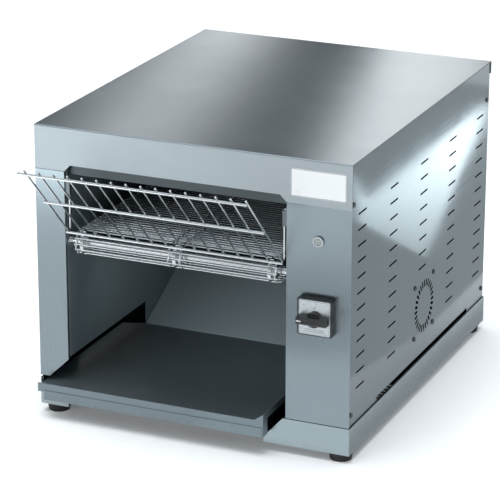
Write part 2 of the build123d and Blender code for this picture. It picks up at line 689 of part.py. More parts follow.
with BuildPart() as rear_panel:
    slab(REAR_X, (REAR_INNER, REAR_OUTER), (PAN_FLOOR + GAP, UNDER_COVER))
    with BuildSketch(Plane.XZ.offset(-REAR_OUTER - CUT_PAST)) as openings:
        rows_middle = TOP - REAR_SLOT_TOP_BELOW_TOP - (REAR_SLOT_ROWS - 1) * SLOT_ROW_PITCH / 2
        with Locations((0, rows_middle)):
            with GridLocations(
                REAR_SLOT_COLUMN_PITCH, SLOT_ROW_PITCH, REAR_SLOT_COLUMNS, REAR_SLOT_ROWS
            ):
                SlotOverall(REAR_SLOT_LENGTH, SLOT_HEIGHT)
        with Locations(GLAND_AT):
            Circle(GLAND_THREAD / 2 + FIT_CLEARANCE)
        with Locations(*REAR_SCREWS):
            Circle(SCREW_DIAMETER / 2 + FIT_CLEARANCE)
    extrude(openings.sketch, amount=SHEET + 2 * CUT_PAST, mode=Mode.SUBTRACT)
keep(rear_panel, "rear_panel")

# ---------------------------------------------------------------- screws

with BuildPart() as screw:
    with BuildSketch():
        Circle(SCREW_HEAD_DIAMETER / 2)
    extrude(amount=SCREW_HEAD_HEIGHT)
    fillet(screw.faces().sort_by(Axis.Z)[-1].edges(), SCREW_HEAD_HEIGHT * SCREW_ROUNDING)
    with BuildSketch(Plane.XY.offset(SCREW_HEAD_HEIGHT)):
        RegularPolygon(SCREW_SOCKET / 2, 6, major_radius=False)
    extrude(amount=-SCREW_SOCKET_DEPTH, mode=Mode.SUBTRACT)
    with BuildSketch():
        Circle(SCREW_DIAMETER / 2)
    extrude(amount=-SCREW_LENGTH)

with BuildPart() as panel_screws:
    with Locations(
        *[Plane(origin=(LEFT + PANEL_INSET, y, z), z_dir=(-1, 0, 0)) for y, z in SIDE_SCREWS],
        *[Plane(origin=(RIGHT - PANEL_INSET, y, z), z_dir=(1, 0, 0)) for y, z in SIDE_SCREWS],
        *[Plane(origin=(x, REAR_OUTER, z), z_dir=(0, 1, 0)) for x, z in REAR_SCREWS],
    ):
        add(screw.part)
keep(panel_screws, "panel_screws")

# ---------------------------------------------------------------- toasting chamber

WALL_TOP = UNDER_COVER - GAP
WALL_BACK = REAR_INNER - GAP
WALL_FRONT = CONTROL_FACE + RETURN_DEPTH + GAP


def chamber_wall(inner, outer, outline):
    """A side wall of the toasting chamber with its holes for bushes and heater caps."""
    x = (min(inner, outer), max(inner, outer))
    through = (x[0] - CUT_PAST, x[1] + CUT_PAST)
    with BuildPart() as wall:
        plate_x(outline, x)
        for y in (IDLER_Y, DRIVE_Y):
            rod_x(BUSH_DIAMETER / 2 + FIT_CLEARANCE, through, y, BELT_Z, mode=Mode.SUBTRACT)
        for y, z in HEATER_AXES:
            rod_x(CAP_DIAMETER / 2 + FIT_CLEARANCE, through, y, z, mode=Mode.SUBTRACT)
    return wall


left_chamber_wall = chamber_wall(
    OPEN_LEFT,
    OPEN_LEFT - SHEET,
    [
        (WALL_FRONT, BASE + WALL_LOW_EDGE),
        (SLIDE_FOOT_Y - GAP, BASE + WALL_LOW_EDGE),
        (SLIDE_FOOT_Y - GAP, PAN_FLOOR),
        (WALL_BACK, PAN_FLOOR),
        (WALL_BACK, WALL_TOP),
        (WALL_FRONT, WALL_TOP),
    ],
)
keep(left_chamber_wall, "left_chamber_wall")

right_chamber_wall = chamber_wall(
    OPEN_RIGHT,
    OPEN_RIGHT + SHEET,
    [
        (WALL_FRONT, PAN_TOP + GAP),
        (FRONT + PAN_LIP + GAP, PAN_TOP + GAP),
        (FRONT + PAN_LIP + GAP, PAN_FLOOR),
        (WALL_BACK, PAN_FLOOR),
        (WALL_BACK, WALL_TOP),
        (WALL_FRONT, WALL_TOP),
    ],
)
keep(right_chamber_wall, "right_chamber_wall")

INSIDE = (OPEN_LEFT + SIDE_CLEARANCE, OPEN_RIGHT - SIDE_CLEARANCE)

with BuildPart() as upper_reflector:
    front = FRONT + REFLECTOR_FRONT
    slab(INSIDE, (front, CHAMBER_BACK - GAP), (REFLECTOR_Z, REFLECTOR_Z + SHEET))
    slab(INSIDE, (front, front + SHEET), (REFLECTOR_Z, REFLECTOR_Z + REFLECTOR_UPSTAND))
keep(upper_reflector, "upper_reflector")

with BuildPart() as insulation_board:
    slab(
        INSIDE,
        (FRONT + REFLECTOR_FRONT + SHEET + GAP, CHAMBER_BACK - GAP),
        (REFLECTOR_Z + SHEET, REFLECTOR_Z + SHEET + INSULATION_THICKNESS),
    )
keep(insulation_board, "insulation_board")

with BuildPart() as lower_reflector:
    low = BELT_Z - LOWER_REFLECTOR_DROP
    reach = (TIE_ROWS[0] - BED_TIE_INSET / 2, TIE_ROWS[1] + BED_TIE_INSET / 2)
    slab(INSIDE, reach, (low, low + SHEET))
keep(lower_reflector, "lower_reflector")

with BuildPart() as heater_tubes:
    for y, z in HEATER_AXES:
        span = (OPEN_LEFT - SHEET, OPEN_RIGHT + SHEET)
        rod_x(TUBE_DIAMETER / 2, span, y, z)
        rod_x(TUBE_DIAMETER / 2 - TUBE_WALL, span, y, z, mode=Mode.SUBTRACT)
keep(heater_tubes, "heater_tubes")

with BuildPart() as heater_coils:
    for y, z in HEATER_AXES:
        rod_x(COIL_DIAMETER / 2, (OPEN_LEFT - SHEET, OPEN_RIGHT + SHEET), y, z)
keep(heater_coils, "heater_coils")

with BuildPart() as heater_caps:
    # Each cap is a blind socket that holds a tube end in the chamber wall.
    for y, z in HEATER_AXES:
        for wall, outward in ((OPEN_LEFT - SHEET, -1), (OPEN_RIGHT + SHEET, 1)):
            ends = sorted((wall - outward * CAP_SOCKET, wall + outward * (CAP_LENGTH - CAP_SOCKET)))
            socket = sorted((wall - outward * CAP_SOCKET, wall))
            rod_x(CAP_DIAMETER / 2, ends, y, z)
            rod_x(TUBE_DIAMETER / 2 + FIT_CLEARANCE, socket, y, z, mode=Mode.SUBTRACT)
keep(heater_caps, "heater_caps")

with BuildPart() as belt_bed:
    for reach in BED_RAIL_OFFSETS:
        for x in (OPEN_MIDDLE - reach, OPEN_MIDDLE + reach):
            slab(
                (x - BED_RAIL_WIDTH / 2, x + BED_RAIL_WIDTH / 2),
                (TIE_ROWS[0] - BED_TIE_INSET, TIE_ROWS[1] + BED_TIE_INSET),
                (BED_TOP - BED_RAIL_HEIGHT, BED_TOP),
            )
    tie_z = BED_TOP - BED_RAIL_HEIGHT - BED_TIE_DIAMETER / 2 + BED_TIE_WELD
    for y in TIE_ROWS:
        rod_x(BED_TIE_DIAMETER / 2, (OPEN_LEFT, OPEN_RIGHT), y, tie_z)
keep(belt_bed, "belt_bed")

# ---------------------------------------------------------------- rear guide and toast slide

with BuildPart() as rear_guide:
    with BuildLine() as guide_line:
        Line((CHAMBER_BACK, REFLECTOR_Z + SHEET), (CHAMBER_BACK, GUIDE_CENTRE_Z))
        CenterArc((GUIDE_CENTRE_Y, GUIDE_CENTRE_Z), GUIDE_RADIUS, 0, SLIDE_ANGLE - 90)
    strip_along(guide_line.line, SHEET, INSIDE)
keep(rear_guide, "rear_guide")

with BuildPart() as toast_slide:
    along = Vector(cos(SLIDE_SLOPE), sin(SLIDE_SLOPE))
    below = Vector(sin(SLIDE_SLOPE), -cos(SLIDE_SLOPE))
    foot = Vector(SLIDE_FOOT_Y, SLIDE_FOOT_Z)
    head = Vector(SLIDE_TOP_Y, SLIDE_TOP_Z) - along * GAP

    def slope_outline(depth):
        """The slope's surface and a parallel one below it, as (y, z) corners."""
        corners = (foot, head, head + below * depth, foot + below * depth)
        return [(corner.X, corner.Y) for corner in corners]

    plate_x(slope_outline(SLIDE_SHEET), INSIDE)
    slab(
        INSIDE,
        (SLIDE_FOOT_Y, SLIDE_FOOT_Y + SLIDE_SHEET),
        (SLIDE_FOOT_Z - SLIDE_FOOT_DROP, SLIDE_FOOT_Z),
    )
    for x in (INSIDE[0], INSIDE[1] - SLIDE_SHEET):
        plate_x(slope_outline(SLIDE_SKIRT), (x, x + SLIDE_SHEET))
keep(toast_slide, "toast_slide")

# ---------------------------------------------------------------- collecting tray

with BuildPart() as collecting_tray:
    behind_face = TRAY_FRONT + TRAY_SHEET
    lip = (TRAY_TOP - TRAY_LIP_HEIGHT, TRAY_TOP)
    lip_y = (TRAY_FRONT, TRAY_FRONT + TRAY_LIP_DEPTH)
    slab((TRAY_CREASE, TRAY_RIGHT), (TRAY_FRONT, TRAY_BACK), (TRAY_Z, TRAY_TOP))
    # Left of a crease the floor slopes down; it passes under the column and the chamber wall.
    plate_y(
        [
            (TRAY_CREASE, TRAY_TOP),
            (TRAY_LEFT, TRAY_TOP - TRAY_WING_DROP),
            (TRAY_LEFT, TRAY_Z - TRAY_WING_DROP),
            (TRAY_CREASE, TRAY_Z),
        ],
        (behind_face, TRAY_BACK),
    )
    # The front lip is a channel, open on the left, with a notch in its lower left corner.
    slab((TRAY_LEFT, TRAY_RIGHT), (TRAY_FRONT, behind_face), lip)
    slab((TRAY_LEFT, TRAY_RIGHT), lip_y, (lip[0], lip[0] + TRAY_SHEET))
    slab((TRAY_RIGHT - TRAY_SHEET, TRAY_RIGHT), lip_y, lip)
    slab(
        (TRAY_LEFT, TRAY_LEFT + TRAY_NOTCH_WIDTH),
        lip_y,
        (lip[0], lip[0] + TRAY_NOTCH_HEIGHT),
        mode=Mode.SUBTRACT,
    )
    # Low right wall, its front end braced by a gusset on the lip.
    slab(
        (TRAY_RIGHT - TRAY_SHEET, TRAY_RIGHT),
        (TRAY_FRONT, TRAY_BACK),
        (TRAY_Z, TRAY_TOP + TRAY_WALL_RISE),
    )
    plate_y(
        [
            (TRAY_RIGHT - TRAY_GUSSET, TRAY_TOP),
            (TRAY_RIGHT, TRAY_TOP),
            (TRAY_RIGHT, TRAY_TOP + TRAY_WALL_RISE),
        ],
        (TRAY_FRONT, behind_face),
    )
keep(collecting_tray, "collecting_tray")

with BuildPart() as tray_runners:
    for near, far in ((TRAY_CREASE + RUNNER_INSET, 1), (TRAY_RIGHT - RUNNER_INSET, -1)):
        web = sorted((near, near + far * PAN_SHEET))
        wide = sorted((near, near + far * RUNNER_WIDTH))
        reach = (FRONT + PAN_FLOOR_SETBACK, TRAY_BACK)
        slab(web, reach, (PAN_FLOOR, PAN_TOP + GAP))
        slab(wide, reach, (PAN_TOP + GAP - PAN_SHEET, PAN_TOP + GAP))
        slab(wide, reach, (PAN_FLOOR, PAN_FLOOR + PAN_SHEET))
keep(tray_runners, "tray_runners")

# ---------------------------------------------------------------- shafts, bushes and belt wheels

with BuildPart() as shaft_bushes:
    for y in (IDLER_Y, DRIVE_Y):
        for wall, outward in ((OPEN_LEFT, -1), (OPEN_RIGHT, 1)):
            flange = sorted((wall - outward * BUSH_FLANGE, wall))
            body = sorted((wall - outward * BUSH_FLANGE, wall + outward * BUSH_LENGTH))
            rod_x(BUSH_FLANGE_DIAMETER / 2, flange, y, BELT_Z)
            rod_x(BUSH_DIAMETER / 2, body, y, BELT_Z)
            rod_x(
                SHAFT_DIAMETER / 2 + RUNNING_CLEARANCE, body, y, BELT_Z, mode=Mode.SUBTRACT
            )
keep(shaft_bushes, "shaft_bushes")

with BuildPart() as idler_shaft:
    rod_x(
        SHAFT_DIAMETER / 2,
        (OPEN_LEFT - SHAFT_PAST_WALL, OPEN_RIGHT + SHAFT_PAST_WALL), IDLER_Y, BELT_Z,
    )
    chamfer(idler_shaft.edges().filter_by(GeomType.CIRCLE), SHAFT_CHAMFER)
keep(idler_shaft, "idler_shaft")

with BuildPart() as drive_shaft:
    rod_x(
        SHAFT_DIAMETER / 2,
        (OPEN_LEFT - SHAFT_PAST_WALL, CHAIN_X + CHAIN_HUB_LENGTH), DRIVE_Y, BELT_Z,
    )
    chamfer(drive_shaft.edges().filter_by(GeomType.CIRCLE), SHAFT_CHAMFER)
keep(drive_shaft, "drive_shaft")

belt_wheel = toothed_wheel(
    BELT_PITCH, BELT_TEETH, BELT_WIRE_DIAMETER / 2, WHEEL_TIP_HEIGHT, WHEEL_THICKNESS
)


def belt_wheels(y):
    """Three toothed wheels with hubs on the shaft at y."""
    with BuildPart() as wheels:
        with Locations(*[across_x(x, y, BELT_Z) for x in WHEEL_PLACES]):
            add(belt_wheel)
            Cylinder(WHEEL_HUB_DIAMETER / 2, WHEEL_HUB_LENGTH)
            Cylinder(SHAFT_DIAMETER / 2, WHEEL_HUB_LENGTH, mode=Mode.SUBTRACT)
    return wheels


idler_wheels = belt_wheels(IDLER_Y)
keep(idler_wheels, "idler_wheels")

drive_wheels = belt_wheels(DRIVE_Y)
keep(drive_wheels, "drive_wheels")

# ---------------------------------------------------------------- wire belt

WRAP_STEP = 360 / BELT_TEETH
WRAP_WIRES = BELT_TEETH // 2


def belt_wire_centres():
    """The (y, z) of every wire round the loop: top run, rear wheel, bottom run, front wheel."""
    centres = [(IDLER_Y + n * BELT_PITCH, BELT_Z + WHEEL_RADIUS) for n in range(BELT_RUN)]
    for n in range(WRAP_WIRES):
        turn = radians(90 - n * WRAP_STEP)
        centres.append((DRIVE_Y + WHEEL_RADIUS * cos(turn), BELT_Z + WHEEL_RADIUS * sin(turn)))
    centres += [(DRIVE_Y - n * BELT_PITCH, BELT_Z - WHEEL_RADIUS) for n in range(BELT_RUN)]
    for n in range(WRAP_WIRES):
        turn = radians(270 - n * WRAP_STEP)
        centres.append((IDLER_Y + WHEEL_RADIUS * cos(turn), BELT_Z + WHEEL_RADIUS * sin(turn)))
    return centres


def belt_wire(side):
    """One wire along X with flat links that reach the next wire, one pitch away in +Y."""
    shift = side * (LINK_THICKNESS + LINK_SIDE_CLEARANCE) / 2
    with BuildPart() as wire:
        rod_x(BELT_WIRE_DIAMETER / 2, (BELT_LEFT, BELT_RIGHT), 0, 0)
        for place in LINK_PLACES:
            x = place + shift - LINK_THICKNESS / 2
            with BuildSketch(Plane.YZ.offset(x)) as link:
                with Locations((BELT_PITCH / 2, 0)):
                    SlotCenterToCenter(BELT_PITCH, LINK_HEIGHT)
                with Locations((BELT_PITCH, 0)):
                    Circle(BELT_WIRE_DIAMETER / 2 + LINK_CLEARANCE, mode=Mode.SUBTRACT)
            extrude(link.sketch, amount=LINK_THICKNESS)
    return wire.part


centres = belt_wire_centres()
wire_places = []
for here, there in zip(centres, centres[1:] + centres[:1]):
    heading = Vector(1, 0).get_signed_angle(Vector(there[0] - here[0], there[1] - here[1]))
    wire_places.append(Location((0, here[0], here[1]), (heading, 0, 0)))

with BuildPart() as conveyor_belt:
    for parity, side in ((0, -1), (1, 1)):
        with Locations(*wire_places[parity::2]):
            add(belt_wire(side))
keep(conveyor_belt, "conveyor_belt")

# ---------------------------------------------------------------- chain drive and gearmotor

driven_wheel = toothed_wheel(
    CHAIN_PITCH, DRIVEN_TEETH, CHAIN_ROLLER_DIAMETER / 2, CHAIN_TIP_HEIGHT, CHAIN_WHEEL_THICKNESS
)
motor_wheel = toothed_wheel(
    CHAIN_PITCH, MOTOR_TEETH, CHAIN_ROLLER_DIAMETER / 2, CHAIN_TIP_HEIGHT, CHAIN_WHEEL_THICKNESS,
    first_seat=180 / MOTOR_TEETH,
)

with BuildPart() as driven_sprocket:
    hub = (CHAIN_X - CHAIN_HUB_LENGTH, CHAIN_X + DRIVEN_HUB_OUT)
    with Locations(across_x(CHAIN_X, DRIVE_Y, BELT_Z)):
        add(driven_wheel)
    rod_x(DRIVEN_HUB_DIAMETER / 2, hub, DRIVE_Y, BELT_Z)
    rod_x(SHAFT_DIAMETER / 2, hub, DRIVE_Y, BELT_Z, mode=Mode.SUBTRACT)
keep(driven_sprocket, "driven_sprocket")

with BuildPart() as motor_sprocket:
    # The sprocket is pinned on the gearbox's output shaft and moves as one with it.
    with Locations(across_x(CHAIN_X, DRIVE_Y, MOTOR_Z)):
        add(motor_wheel)
    hub = (CHAIN_X - CHAIN_HUB_LENGTH, CHAIN_X + MOTOR_HUB_OUT)
    rod_x(MOTOR_HUB_DIAMETER / 2, hub, DRIVE_Y, MOTOR_Z)
    rod_x(
        OUTPUT_DIAMETER / 2,
        (hub[0] - OUTPUT_PAST_HUB, OUTPUT_END), DRIVE_Y, MOTOR_Z,
    )
keep(motor_sprocket, "motor_sprocket")


def chain_roller_centres():
    """The (y, z) of every roller: over the driven wheel, down, round the motor wheel and up."""
    centres = []
    driven_seats = DRIVEN_TEETH // 2
    for n in range(driven_seats + 1):
        turn = radians(180 - n * 360 / DRIVEN_TEETH)
        centres.append((DRIVE_Y + DRIVEN_RADIUS * cos(turn), BELT_Z + DRIVEN_RADIUS * sin(turn)))
    motor_seats = []
    for n in range(MOTOR_TEETH // 2):
        turn = radians(-180 / MOTOR_TEETH - n * 360 / MOTOR_TEETH)
        motor_seats.append(
            (DRIVE_Y + MOTOR_RADIUS * cos(turn), MOTOR_Z + MOTOR_RADIUS * sin(turn))
        )
    for start, end, after in (
        (centres[-1], motor_seats[0], motor_seats),
        (motor_seats[-1], centres[0], []),
    ):
        for n in range(1, SPAN_PITCHES):
            share = n / SPAN_PITCHES
            centres.append(
                (start[0] + (end[0] - start[0]) * share, start[1] + (end[1] - start[1]) * share)
            )
        centres += after
    return centres


with BuildPart() as drive_chain:
    rollers = chain_roller_centres()
    for inner in (
        CHAIN_X - CHAIN_WIDTH / 2,
        CHAIN_X + CHAIN_WIDTH / 2 - CHAIN_PLATE,
    ):
        with BuildSketch(Plane.YZ.offset(inner)) as plates:
            for here, there in zip(rollers, rollers[1:] + rollers[:1]):
                middle = ((here[0] + there[0]) / 2, (here[1] + there[1]) / 2)
                run = Vector(there[0] - here[0], there[1] - here[1])
                with Locations(middle):
                    SlotCenterToCenter(
                        run.length, CHAIN_PLATE_HEIGHT,
                        rotation=Vector(1, 0).get_signed_angle(run),
                    )
        extrude(plates.sketch, amount=CHAIN_PLATE)
    with BuildSketch(Plane.YZ.offset(CHAIN_X - CHAIN_WIDTH / 2)) as pins:
        with Locations(*rollers):
            Circle(CHAIN_ROLLER_DIAMETER / 2)
    extrude(pins.sketch, amount=CHAIN_WIDTH)
keep(drive_chain, "drive_chain")

GEARBOX_X = (MOTOR_PLATE_X + MOTOR_PLATE, MOTOR_PLATE_X + MOTOR_PLATE + GEARBOX_LENGTH)
HALF_BOX = GEARBOX_SIZE / 2

with BuildPart() as motor_bracket:
    plate = (MOTOR_PLATE_X, MOTOR_PLATE_X + MOTOR_PLATE)
    breadth = (DRIVE_Y - HALF_BOX, DRIVE_Y + HALF_BOX)
    slab(plate, breadth, (PAN_FLOOR, MOTOR_Z + HALF_BOX))
    slab((plate[0], plate[1] + GEARBOX_SIZE / 2), breadth, (PAN_FLOOR, PAN_FLOOR + MOTOR_PLATE))
    rod_x(
        OUTPUT_BOSS_DIAMETER / 2 + FIT_CLEARANCE,
        (plate[0] - CUT_PAST, plate[1] + CUT_PAST), DRIVE_Y, MOTOR_Z, mode=Mode.SUBTRACT,
    )
keep(motor_bracket, "motor_bracket")

with BuildPart() as gearbox:
    slab(
        GEARBOX_X,
        (DRIVE_Y - HALF_BOX, DRIVE_Y + HALF_BOX),
        (MOTOR_Z - HALF_BOX, MOTOR_Z + HALF_BOX),
    )
    fillet(gearbox.edges().filter_by(Axis.X), GEARBOX_CORNER)
    rod_x(
        OUTPUT_BOSS_DIAMETER / 2, (GEARBOX_X[0] - MOTOR_PLATE, GEARBOX_X[0]), DRIVE_Y, MOTOR_Z
    )
    rod_x(
        OUTPUT_DIAMETER / 2 + RUNNING_CLEARANCE,
        (GEARBOX_X[0] - MOTOR_PLATE, OUTPUT_END + OUTPUT_END_GAP), DRIVE_Y, MOTOR_Z,
        mode=Mode.SUBTRACT,
    )
keep(gearbox, "gearbox")

with BuildPart() as motor_can:
    rod_x(
        MOTOR_CAN_DIAMETER / 2, (GEARBOX_X[1], GEARBOX_X[1] + MOTOR_CAN_LENGTH), DRIVE_Y, MOTOR_Z
    )
    fillet(motor_can.edges().filter_by(GeomType.CIRCLE).sort_by(Axis.X)[-1], MOTOR_CAN_ROUND)
keep(motor_can, "motor_can")

# ---------------------------------------------------------------- cooling fan

with BuildPart(FAN_PLANE) as fan_frame:
    inward = (Align.CENTER, Align.CENTER, Align.MAX)
    Box(FAN_SIZE, FAN_SIZE, FAN_DEPTH, align=inward)
    fillet(fan_frame.edges().filter_by(Axis.X), FAN_CORNER)
    Cylinder(FAN_BORE / 2, FAN_DEPTH, align=inward, mode=Mode.SUBTRACT)
    with GridLocations(FAN_SCREW_SPACING, FAN_SCREW_SPACING, 2, 2):
        Cylinder(SCREW_DIAMETER / 2 + FIT_CLEARANCE, FAN_DEPTH, align=inward, mode=Mode.SUBTRACT)
    with Locations((0, 0, FAN_STRUT - FAN_DEPTH)):
        with PolarLocations(FAN_BORE / 4, 4):
            Box(FAN_BORE / 2 + FAN_OVERLAP, 2 * FAN_STRUT, FAN_STRUT, align=inward)
        Cylinder(FAN_HUB_DIAMETER / 2, FAN_STRUT, align=inward)
        Cylinder(
            FAN_PIN_DIAMETER / 2 + RUNNING_CLEARANCE, FAN_STRUT, align=inward, mode=Mode.SUBTRACT
        )
keep(fan_frame, "fan_frame")

with BuildPart(FAN_PLANE) as fan_rotor:
    hub_back = FAN_STRUT + FAN_END_CLEARANCE - FAN_DEPTH
    hub_length = FAN_DEPTH - FAN_STRUT - FAN_END_CLEARANCE - FAN_FACE_CLEARANCE
    outward = (Align.CENTER, Align.CENTER, Align.MIN)
    # Each blade is a slanting plate that starts inside the hub.
    with Locations((0, 0, hub_back + hub_length / 2)):
        with PolarLocations(FAN_HUB_DIAMETER / 2 - BLADE_ROOT, FAN_BLADES):
            Box(
                FAN_BORE / 2 - FAN_HUB_DIAMETER / 2, BLADE_CHORD, BLADE_THICKNESS,
                rotation=(BLADE_PITCH_ANGLE, 0, 0),
                align=(Align.MIN, Align.CENTER, Align.CENTER),
            )
    with Locations((0, 0, hub_back)):
        Cylinder(FAN_BORE / 2 - FAN_TIP_CLEARANCE, hub_length, align=outward, mode=Mode.INTERSECT)
        Cylinder(FAN_HUB_DIAMETER / 2, hub_length, align=outward)
        Cylinder(FAN_PIN_DIAMETER / 2, FAN_STRUT + FAN_OVERLAP, align=inward)
keep(fan_rotor, "fan_rotor")

with BuildPart() as fan_screws:
    panel_face = RIGHT - PANEL_INSET
    half = FAN_SCREW_SPACING / 2
    with Locations(
        *[
            Plane(origin=(panel_face, FAN_Y + y, FAN_Z + z), z_dir=(1, 0, 0))
            for y in (-half, half)
            for z in (-half, half)
        ]
    ):
        add(screw.part)
keep(fan_screws, "fan_screws")

# ---------------------------------------------------------------- controls on the front

FRONT_FACING = (0, -1, 0)
SWITCH_PLANE = Plane(
    origin=(SWITCH_AT[0], CONTROL_FACE, SWITCH_AT[1]), x_dir=(1, 0, 0), z_dir=FRONT_FACING
)
LAMP_PLANE = Plane(
    origin=(LAMP_AT[0], CONTROL_FACE, LAMP_AT[1]), x_dir=(1, 0, 0), z_dir=FRONT_FACING
)
PLATE_FACE = SWITCH_BLOCK_DEPTH + SWITCH_PLATE
CONTACTS_START = SHEET + GAP

with BuildPart(SWITCH_PLANE) as switch_contacts:
    with Locations((0, 0, -CONTACTS_START)):
        Box(SWITCH_CONTACTS, SWITCH_CONTACTS, SWITCH_CONTACTS_DEPTH, align=inward)
    with Locations((0, 0, 0)):
        Cylinder(SWITCH_NECK_DIAMETER / 2, CONTACTS_START + SWITCH_NECK_ROOT, align=inward)
        Cylinder(
            SPINDLE_DIAMETER / 2 + RUNNING_CLEARANCE,
            CONTACTS_START + SPINDLE_DEPTH, align=inward, mode=Mode.SUBTRACT,
        )
keep(switch_contacts, "switch_contacts")

with BuildPart(SWITCH_PLANE) as switch_block:
    with Locations((0, SWITCH_RISE, 0)):
        Box(SWITCH_BLOCK_WIDTH, SWITCH_BLOCK_HEIGHT, SWITCH_BLOCK_DEPTH, align=outward)
    fillet(switch_block.edges().filter_by(Axis.Y), SWITCH_CORNER)
    Cylinder(
        SPINDLE_DIAMETER / 2 + RUNNING_CLEARANCE, SWITCH_BLOCK_DEPTH, align=outward,
        mode=Mode.SUBTRACT,
    )
keep(switch_block, "switch_block")

with BuildPart(SWITCH_PLANE.offset(SWITCH_BLOCK_DEPTH)) as switch_plate:
    with Locations((0, SWITCH_RISE, 0)):
        Box(SWITCH_PLATE_WIDTH, SWITCH_PLATE_HEIGHT, SWITCH_PLATE, align=outward)
    fillet(switch_plate.edges().filter_by(Axis.Y), SWITCH_PLATE_CORNER)
    Cylinder(
        SPINDLE_DIAMETER / 2 + RUNNING_CLEARANCE, SWITCH_PLATE, align=outward, mode=Mode.SUBTRACT
    )
keep(switch_plate, "switch_plate")

with BuildPart(SWITCH_PLANE.offset(PLATE_FACE + KNOB_LIFT)) as switch_knob:
    Cylinder(KNOB_DIAMETER / 2, KNOB_DISC, align=outward)
    with Locations((0, 0, 0)):
        Box(GRIP_LENGTH, GRIP_WIDTH, GRIP_HEIGHT, align=outward)
    fillet(switch_knob.edges().filter_by(Axis.X).sort_by(Axis.Y)[:2], GRIP_WIDTH / 4)
    Cylinder(SPINDLE_DIAMETER / 2, PLATE_FACE + KNOB_LIFT + SPINDLE_DEPTH, align=inward)
keep(switch_knob, "switch_knob")

with BuildPart(LAMP_PLANE) as lamp_bezel:
    Cylinder(LAMP_DIAMETER / 2, LAMP_RIM, align=outward)
    fillet(lamp_bezel.edges().filter_by(GeomType.CIRCLE).sort_by(Axis.Y)[0], BEZEL_ROUND)
    Cylinder(LAMP_BODY_DIAMETER / 2, LAMP_BODY_LENGTH, align=inward)
    with Locations((0, 0, LAMP_RIM)):
        Cylinder(LENS_RADIUS, LAMP_RIM + LENS_SEAT, align=inward, mode=Mode.SUBTRACT)
keep(lamp_bezel, "lamp_bezel")

with BuildPart(LAMP_PLANE) as lamp_lens:
    with Locations((0, 0, -LENS_SEAT)):
        Cylinder(LENS_RADIUS, LENS_SEAT + LAMP_RIM + LENS_PROUD, align=outward)
    fillet(lamp_lens.edges().filter_by(GeomType.CIRCLE).sort_by(Axis.Y)[0], LENS_RADIUS * LENS_ROUNDING)
keep(lamp_lens, "lamp_lens")

with BuildPart() as label_plate:
    middle = TOP - LABEL_BELOW_TOP
    slab(
        (CONTROLS_X - LABEL_WIDTH / 2, CONTROLS_X + LABEL_WIDTH / 2),
        (FRONT - LABEL_THICKNESS, FRONT),
        (middle - LABEL_DEPTH / 2, middle + LABEL_DEPTH / 2),
    )
    fillet(label_plate.edges().filter_by(Axis.Y), LABEL_CORNER)
keep(label_plate, "label_plate")

# ---------------------------------------------------------------- cable gland and terminals

GLAND_PLANE = Plane(
    origin=(GLAND_AT[0], REAR_OUTER, GLAND_AT[1]), x_dir=(1, 0, 0), z_dir=(0, 1, 0)
)

with BuildPart(GLAND_PLANE) as cable_gland:
    with BuildSketch(GLAND_PLANE):
        RegularPolygon(GLAND_HEX / 2, 6, major_radius=False)
    extrude(amount=GLAND_HEX_LENGTH)
    with Locations((0, 0, GLAND_HEX_LENGTH)):
        Cylinder(GLAND_DOME_DIAMETER / 2, GLAND_DOME_LENGTH, align=outward)
    fillet(cable_gland.edges().filter_by(GeomType.CIRCLE).sort_by(Axis.Y)[-1], GLAND_ROUND)
    Cylinder(GLAND_THREAD / 2, GLAND_THREAD_LENGTH, align=inward)
    with Locations((0, 0, -GLAND_THREAD_LENGTH)):
        Cylinder(
            GLAND_BORE / 2, GLAND_THREAD_LENGTH + GLAND_HEX_LENGTH + GLAND_DOME_LENGTH,
            align=outward, mode=Mode.SUBTRACT,
        )
keep(cable_gland, "cable_gland")

with BuildPart(GLAND_PLANE.offset(-SHEET - GLAND_NUT_LENGTH)) as gland_nut:
    with BuildSketch(GLAND_PLANE.offset(-SHEET - GLAND_NUT_LENGTH)):
        RegularPolygon(GLAND_HEX / 2, 6, major_radius=False)
        Circle(GLAND_THREAD / 2 + FIT_CLEARANCE, mode=Mode.SUBTRACT)
    extrude(amount=GLAND_NUT_LENGTH)
keep(gland_nut, "gland_nut")

with BuildPart() as terminal_block:
    middle_x = GLAND_AT[0]
    length = TERMINAL_WAYS * TERMINAL_PITCH
    depth = (WALL_BACK - GLAND_THREAD_LENGTH - 3 * TERMINAL_DEPTH / 2,
             WALL_BACK - GLAND_THREAD_LENGTH - TERMINAL_DEPTH / 2)
    slab(
        (middle_x - length / 2, middle_x + length / 2), depth,
        (PAN_FLOOR, PAN_FLOOR + TERMINAL_HEIGHT),
    )
    with Locations((middle_x, sum(depth) / 2, PAN_FLOOR + TERMINAL_HEIGHT)):
        with GridLocations(TERMINAL_PITCH, TERMINAL_DEPTH / 2, TERMINAL_WAYS, 2):
            Cylinder(TERMINAL_HOLE / 2, TERMINAL_HEIGHT, mode=Mode.SUBTRACT)
keep(terminal_block, "terminal_block")

# ---------------------------------------------------------------- loading rack and its clips


def on_rack(x, along, under=0.0):
    """A point on the rack: how far up the slope, and how far under the wires' middle plane."""
    y = FRONT + RACK_SETBACK - along * cos(RACK_LEAN) - under * sin(RACK_LEAN)
    z = BELT_Z + RACK_ABOVE_BELT_AXIS + along * sin(RACK_LEAN) - under * cos(RACK_LEAN)
    return (x, y, z)


RACK_LEFT = OPEN_LEFT + RACK_SIDE_GAP
RACK_RIGHT = OPEN_RIGHT - RACK_SIDE_GAP
RACK_PITCH = (RACK_RIGHT - RACK_LEFT) / (RACK_WIRES - 1)
RAIL_UNDER = (RACK_WIRE_DIAMETER + RACK_RAIL_DIAMETER) / 2 - RACK_WELD
LEG_Y = FRONT + RACK_LEG_SETBACK
LEG_FOOT = BASE + RACK_LEG_FOOT
LEG_TOP = BASE + RACK_LEG_TOP

